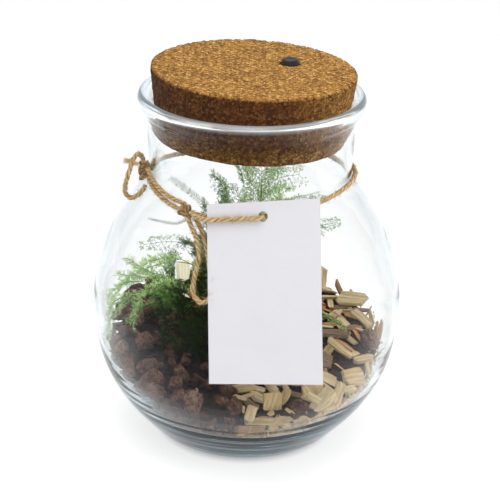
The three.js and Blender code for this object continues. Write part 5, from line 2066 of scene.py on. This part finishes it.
@dataclass
class Fern:
    """The lace fern: a crown of fronds, some flat and lacy, some like plumes."""

    jar: Jar
    stem: GeometryTree
    scatter: GeometryTree
    crown: Place = (-2, 4, 52.3)
    crown_radius: float = 9.0
    seed: int = 5
    leaf: tuple[Place, Place] = ((-32.9, -34, 89.9), (-28.2, -34, 87.0))  # the tip and the end of the fallen leaf

    def fallen_leaf(self) -> None:
        """Makes the small pale leaf that is caught among the dark needles."""
        tip, end = (np.array(point) for point in self.leaf)
        middle, along = (tip + end) / 2, unit(end - tip)
        across, through = unit(np.cross(along, (0.0, 1.0, 0.0))) * 0.85, np.array((0.0, 0.2, 0.0))
        places = np.array([tip, middle + across, end, middle - across, middle + through, middle - through])
        sides = [(0, 1), (1, 2), (2, 3), (3, 0)]
        faces = [(one, two, 4) for one, two in sides] + [(two, one, 5) for one, two in sides]
        if np.cross(places[1] - places[0], places[4] - places[0]) @ (places[0] - middle) < 0:
            faces = [face[::-1] for face in faces]
        piece = new_object("dry_leaf", places * MM, faces)
        piece.data.shade_flat()
        # Full painted light, and the pale chip's finish with its painted glow.
        for name, values in (("lit", 1.0), ("grain", (places - middle) * MM), ("tone", 0.0)):
            store(piece, name, values)
        finished(piece, "fern", material=bpy.data.materials["pale_ribbed_wood"])

    def foot(self, number: int, count: int) -> Place:
        """Where on the crown a frond grows."""
        turn = number / count * 2 * math.pi
        x, y, z = self.crown
        return (x + math.cos(turn) * self.crown_radius, y + math.sin(turn) * self.crown_radius, z + 2.2)

    def grow(self, spray: Spray, number: int, count: int, needles: Shapes, material: Material) -> Object:
        """Makes one frond.

        Args:
            spray: The frond.
            number: Its place in the ring of feet.
            count: How many feet the ring has.
            needles: The needle shapes.
            material: The finish.

        Returns:
            The piece, not on its body yet.
        """
        frond = Frond(jar=self.jar, spray=spray, rng=np.random.default_rng(self.seed * 100 + number))
        line = self.jar.hold(spaced_curve([self.foot(number, count), *spray.stem], 90), 2.2)
        frond.line(line, 0.32, 0.1)
        frond.fill(line)
        name = f"frond_{spray.name}"
        stems = frond.stems(name + "_stems", self.stem, material)
        store(stems, "tone", min(spray.tone * 0.6, 0.45))
        return joined([frond.needles.grown(name, self.scatter, needles, material), stems], name)

    def build(self) -> None:
        """Builds every frond."""
        material, needles = FernLeaf().material(), Shapes("needle")
        turn = np.arange(3) * 2 * math.pi / 3
        faces = [(0, 2, 1), (0, 3, 2), (0, 1, 3), (4, 1, 2), (4, 2, 3), (4, 3, 1)]
        for wide in (0.13, 0.16, 0.2):
            ring = np.column_stack([np.cos(turn) * wide, np.sin(turn) * wide, np.full(3, 0.42)])
            needles.add(np.vstack([[[0, 0, 0]], ring, [[0, 0, 1]]]), faces)
        for number, spray in enumerate(FRONDS):
            piece = self.grow(spray, number, len(FRONDS), needles, material)
            finished(piece, "fern", f"fern_frond_{spray.name}", material=material)
        for number, spray in enumerate(UNDERGROWTH, 20):
            finished(self.grow(spray, number, len(UNDERGROWTH), needles, material), "fern", material=material)
        needles.clear()
        self.fallen_leaf()


# ---- twine and tag


class Twist(Enum):
    """Which twine of the tie a piece is, by the name of its frame node."""

    NECK = "neck_twine"
    TIED = "tied_twine"
    LOOP = "twine_loop"
    HANGING = "hanging_twine"
    STRING = "tag_string"


@dataclass
class Tie:
    """The jute twine: what goes round the neck, its knots and loops, and the tag's string."""

    jar: Jar
    fuzz_tree: GeometryTree
    stem: GeometryTree
    diameter: float = 2.4
    pitch: float = 9.5  # mm for one turn of its three strands
    tag_top: Span = (-53.2, 147.5)
    lean: float = 0.54
    bend: float = 0.0007
    knot_painted_shade: float = 0.6
    material: Material = field(default_factory=lambda: JuteFibre().material())
    hairs: Shapes = field(default_factory=lambda: Shapes("fibre"))

    def card_y(self, height: float) -> float:
        """Where the middle of the card is at a height, in millimetres."""
        drop = self.tag_top[1] - height
        return self.tag_top[0] - self.lean * drop + self.bend * drop * drop

    def routes(self) -> dict[Twist, tuple[Place, ...]]:
        """Each twine's route in millimetres, the same as its frame solid's.

        Returns:
            The points of each route.
        """
        around, front, card = self.jar.around, self.jar.on_front, self.card_y
        face = 1.85
        neck = [(-163, 144.6), (-150, 141.6), (-136, 139.4), (-123, 138.4), (-108, 138.6), (-90, 139.6), (-70, 141.4)]
        neck += [(-50, 143.4), (-31, 144.8), (-12, 145.2), (8, 144), (28, 141.6), (50, 140.2), (72, 139.8), (95, 139.6)]
        neck += [(118, 139.6), (140, 139.8), (160, 141), (176, 143.6), (189, 146.4)]
        tied = [(-164, 148.4), (-156, 146), (-144, 143.4), (-133, 142), (-125, 141.6)]
        loop = [(-53.2, -13.9, 151.6), (-54.2, -15.4, 155.4), (-56, -19.4, 157.8), (-57.9, -23.2, 156.2)]
        loop += [(-59.2, -24.7, 152.2), (-60.6, -24.8, 147.2), (-61.8, -24.2, 142.2), (-61.5, -23.3, 138)]
        loop += [(-59.2, -22.2, 135.6), (-56.2, -21.2, 136.4), (-53.7, -21.1, 138.7), (-51.9, -21.9, 141.9)]
        hanging = [(-29.6, 137, 3.2), (-28.2, 134.6, 3), (-26.3, 131.8, 2.8), (-24.6, 128.2, 2.5), (-23.6, 124.2, 2.1)]
        hanging += [(-23.7, 120, 1.7), (-24.6, 115.8), (-25.5, 111.4), (-25.8, 107.2), (-24.6, 103.9), (-21.4, 102.5)]
        hanging += [(-18.2, 104), (-16.9, 107.4), (-17, 111.2), (-17.5, 115.2), (-18.4, 119.6), (-19.4, 124)]
        hanging += [(-20.6, 128.1), (-22.2, 131.9), (-24.1, 134.8), (-25.7, 136.8)]
        string = [(-28, -50.4, 139.8), (-25.2, -55.6, 139.6), (-21.2, card(140) - face - 0.2, 139.8)]
        string += [(-10, card(140.2) - face, 140.2), (-2, card(140.6) - face, 140.6), (4, card(141) - face - 0.1, 141)]
        string += [(6.3, card(141.2) - face + 0.8, 141.2), (6.9, card(141.2) - 0.1, 141.2)]
        return {
            Twist.NECK: tuple(around(*p) for p in neck),
            Twist.TIED: tuple(around(*p) for p in tied),
            Twist.LOOP: tuple(loop),
            Twist.HANGING: tuple(front(*p) for p in hanging),
            Twist.STRING: tuple(string),
        }

    def rope(self, name: str, route: Sequence[Place], taper: float = 0.0, step: float = 0.42) -> Object:
        """Makes a length of three-strand twine.

        Args:
            name: The piece's name.
            route: The points that it follows, in millimetres.
            taper: How much thinner its ends are, as a share.
            step: The spacing of its rings, in millimetres.

        Returns:
            The piece, with its strands' coordinates stored for the fibres.
        """
        total, sides = length_of(spaced_curve(route, 200)), 24
        rings = max(int(total / step), 12)
        turn = np.arange(sides) / sides * 2 * math.pi
        lobe = np.abs(np.cos(turn * 1.5)) ** 0.7
        circle = np.column_stack([np.cos(turn), np.sin(turn)])
        outline = circle * (0.64 + 0.4 * lobe)[:, None] * self.diameter / 2
        along = np.linspace(0, total, rings)
        wander = 0.5 * np.sin(along * 0.31) + 0.3 * np.sin(along * 0.83 + 1)
        twist = -along / self.pitch * 2 * math.pi + wander
        swell = 1 + 0.05 * np.sin(along * 0.9 + 0.4) + 0.035 * np.sin(along * 2.3)
        ends = 1 - taper * held(1 - np.minimum(along, total - along) / 1.5)
        vertices, faces = sweep(spaced_curve(route, rings) * MM, outline * MM, twist, swell * ends)
        piece = new_object(name, vertices, faces)
        grain, depth, body = np.zeros((len(vertices), 3)), np.zeros(len(vertices)), rings * sides
        grain[:body, 0] = np.repeat(along, sides)
        grain[:body, 1:] = np.tile(circle * self.diameter / 2, (rings, 1))
        # Painted shade: the grooves between the strands get a low depth.
        depth[:body] = np.tile(lobe, rings)
        strands = fractal(grain * np.array([0.35, 2.6, 2.6]) + total, 1.0, 3)
        move_to(piece, coordinates(piece) + normals(piece) * (strands * 0.16 * MM)[:, None])
        store(piece, "grain", grain * MM)
        store(piece, "depth", depth + strands * 0.5)
        return dress(piece, self.material)

    def fuzz(self, name: str, base: Object, density: float, length: float, seed: int) -> Object:
        """Sets loose fibres on a piece of twine.

        Args:
            name: The fibres' name.
            base: The twine that they stand on.
            density: Fibres for each square millimetre.
            length: The longest fibre, in millimetres.
            seed: The seed of their places.

        Returns:
            The fibres, as one piece.
        """
        values = {"Hairs": self.hairs.collection, "Density": density * 1e6, "Length": length * MM, "Seed": seed}
        made = self.fuzz_tree.run(linked(name, base.data.copy()), **values, Material=self.material)
        made.data.shade_smooth()
        move_to(made, self.jar.clear_of(coordinates(made) / MM) * MM)
        store(made, "grain", coordinates(made))
        return finished(made, "jute")

    def make_hairs(self) -> None:
        """Makes curved fibres of one unit's length."""
        rng, steps = np.random.default_rng(3), 6
        turn = np.arange(3) * 2 * math.pi / 3
        ring = np.column_stack([np.cos(turn), np.sin(turn)]) * 0.022
        for _ in range(6):
            points, heading = np.zeros((steps + 1, 3)), np.array([0, 0, 1.0])
            bias = rng.normal(size=3) * 0.3
            for step in range(steps):
                heading = heading + bias + rng.normal(size=3) * 0.22
                heading /= np.linalg.norm(heading)
                points[step + 1] = points[step] + heading / steps
            self.hairs.add(*sweep(points, ring, np.zeros(steps + 1), np.linspace(1.2, 0.5, steps + 1)))

    def wraps(
        self, centre: Rows, along: Rows, out: Rows, turns: float, size: Span, advance: float, start: float
    ) -> Rows:
        """Points of a twine wound round another.

        Args:
            centre: The middle of the winding, in millimetres.
            along: The way that the wound twine runs.
            out: The way away from the glass.
            turns: How many turns it makes.
            size: Its half widths away from the glass and across.
            advance: How far one turn moves along, in millimetres.
            start: Where on the turn it starts, in radians.

        Returns:
            The points.
        """
        along, out = along / np.linalg.norm(along), out / np.linalg.norm(out)
        across, points = np.cross(along, out), []
        for step in range(int(turns * 10) + 1):
            share = step / 10
            angle = start + share * 2 * math.pi
            offset = out * math.cos(angle) * size[0] + across * math.sin(angle) * size[1]
            points.append(centre + offset + along * (share - turns / 2) * advance)
        return np.array(points)

    def build_knots(self) -> list[Object]:
        """Makes the two knots out of wound twine, darkened there by painted shade.

        Returns:
            The knots.
        """
        made = []
        for node, azimuth, height, stand, way, turns, size, advance, tail in (
            ("neck_knot", -166, 147.0, 2.9, (0.35, -0.3, -1.0), 3.2, (1.9, 2.0), 2.6, 0.2),
            ("tag_knot", -123, 139.6, 3.1, (0.84, -0.54, -0.05), 2.4, (1.9, 2.1), 2.7, 0.6),
        ):
            centre = np.array(self.jar.around(azimuth, height, stand))
            out = centre * (1, 1, 0)
            out = out / np.linalg.norm(out)
            along = np.array(way, float)
            along -= out * (along @ out)
            coil = self.rope(f"{node}_coil", self.wraps(centre, along, out, turns, size, advance, tail), taper=0.5)
            over, middle = np.cross(along, out), centre + out * 2.1
            bar = [
                middle + along * s * 2.6 + over * math.sin(s * 2.2) * 1.2 - out * abs(s) ** 2 * 1.6
                for s in (-1, -0.5, 0, 0.5, 1)
            ]
            knot = joined([coil, self.rope(f"{node}_bar", bar, taper=0.5)], f"{node}_wraps")
            # Painted shade on the knots.
            store(knot, "depth", stored(knot, "depth") - self.knot_painted_shade)
            made.append(finished(knot, "jute", node))
        return made

    def build_frayed(self) -> Object:
        """Makes the frayed end: a bundle of fibres that spread from the twine.

        Returns:
            The piece.
        """
        rng, growth, count = np.random.default_rng(9), Growth(), 9
        ends = [(-56, -13.6, 150.2), (-58.6, -14.6, 151.6), (-61.4, -15.6, 152.6), (-64.4, -16.2, 153.4)]
        route = spaced_curve(ends, count)
        first, second = frames_along(route)
        share = np.linspace(0, 1, count)[:, None]
        for _ in range(150):
            angle, spread, stop = rng.uniform(0, 2 * math.pi) + 1.5, rng.uniform(0.2, 1.0), rng.uniform(0.55, 1.0)
            wide = 0.75 * spread * (1 + 1.6 * share**2) + rng.normal(size=(count, 1)) * 0.08 * share
            points = route + (first * math.cos(angle) + second * math.sin(angle)) * wide
            growth.line(points[: max(int(count * stop), 4)], 0.13, 0.05)
        made = growth.stems("frayed_fibres", self.stem, self.material)
        store(made, "depth", 1.9)
        store(made, "grain", coordinates(made))
        return finished(made, "jute", "frayed_end")

    def build(self) -> None:
        """Builds the twine and dresses the tag."""
        self.make_hairs()
        knots = [*self.build_knots(), self.build_frayed()]
        for number, (twist, route) in enumerate(self.routes().items()):
            piece = finished(self.rope(f"{twist.value}_rope", route), "jute", twist.value)
            reach = 3.8 if twist is Twist.HANGING else 2.8
            hair = self.fuzz(f"{twist.value}_fuzz", piece, 0.8, reach, 40 + number)
            line = spaced_curve(route, 38) * MM
            max(length_of(spaced_curve(route, 400)) * MM, 0.03)
        for number, knot in enumerate(knots):
            self.fuzz(f"{knot.name}_fuzz", knot, 0.4, 2.6, 60 + number)
        self.hairs.clear()
        dress_node("hang_tag", PlainCard().material())


# ---- all of it


def main() -> None:
    """Builds the terrarium and its studio."""
    logging.basicConfig(level=logging.INFO, format="%(message)s")
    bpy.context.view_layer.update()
    studio, jar = Studio(), Jar()
    studio.set_camera()
    scatter, stem, fuzz = scatter_tree(), stem_tree(), fuzz_tree()
    Tie(jar, fuzz, stem).build()
    studio.light()
    studio.lay_floor()
    jar.build()
    Stopper().build()
    LavaSide(jar, scatter).build()
    ChipSide(jar, scatter).build()
    RootBall().build()
    Fern(jar, stem, scatter).build()
    bpy.context.view_layer.update()


if __name__ == "__main__":
    main()
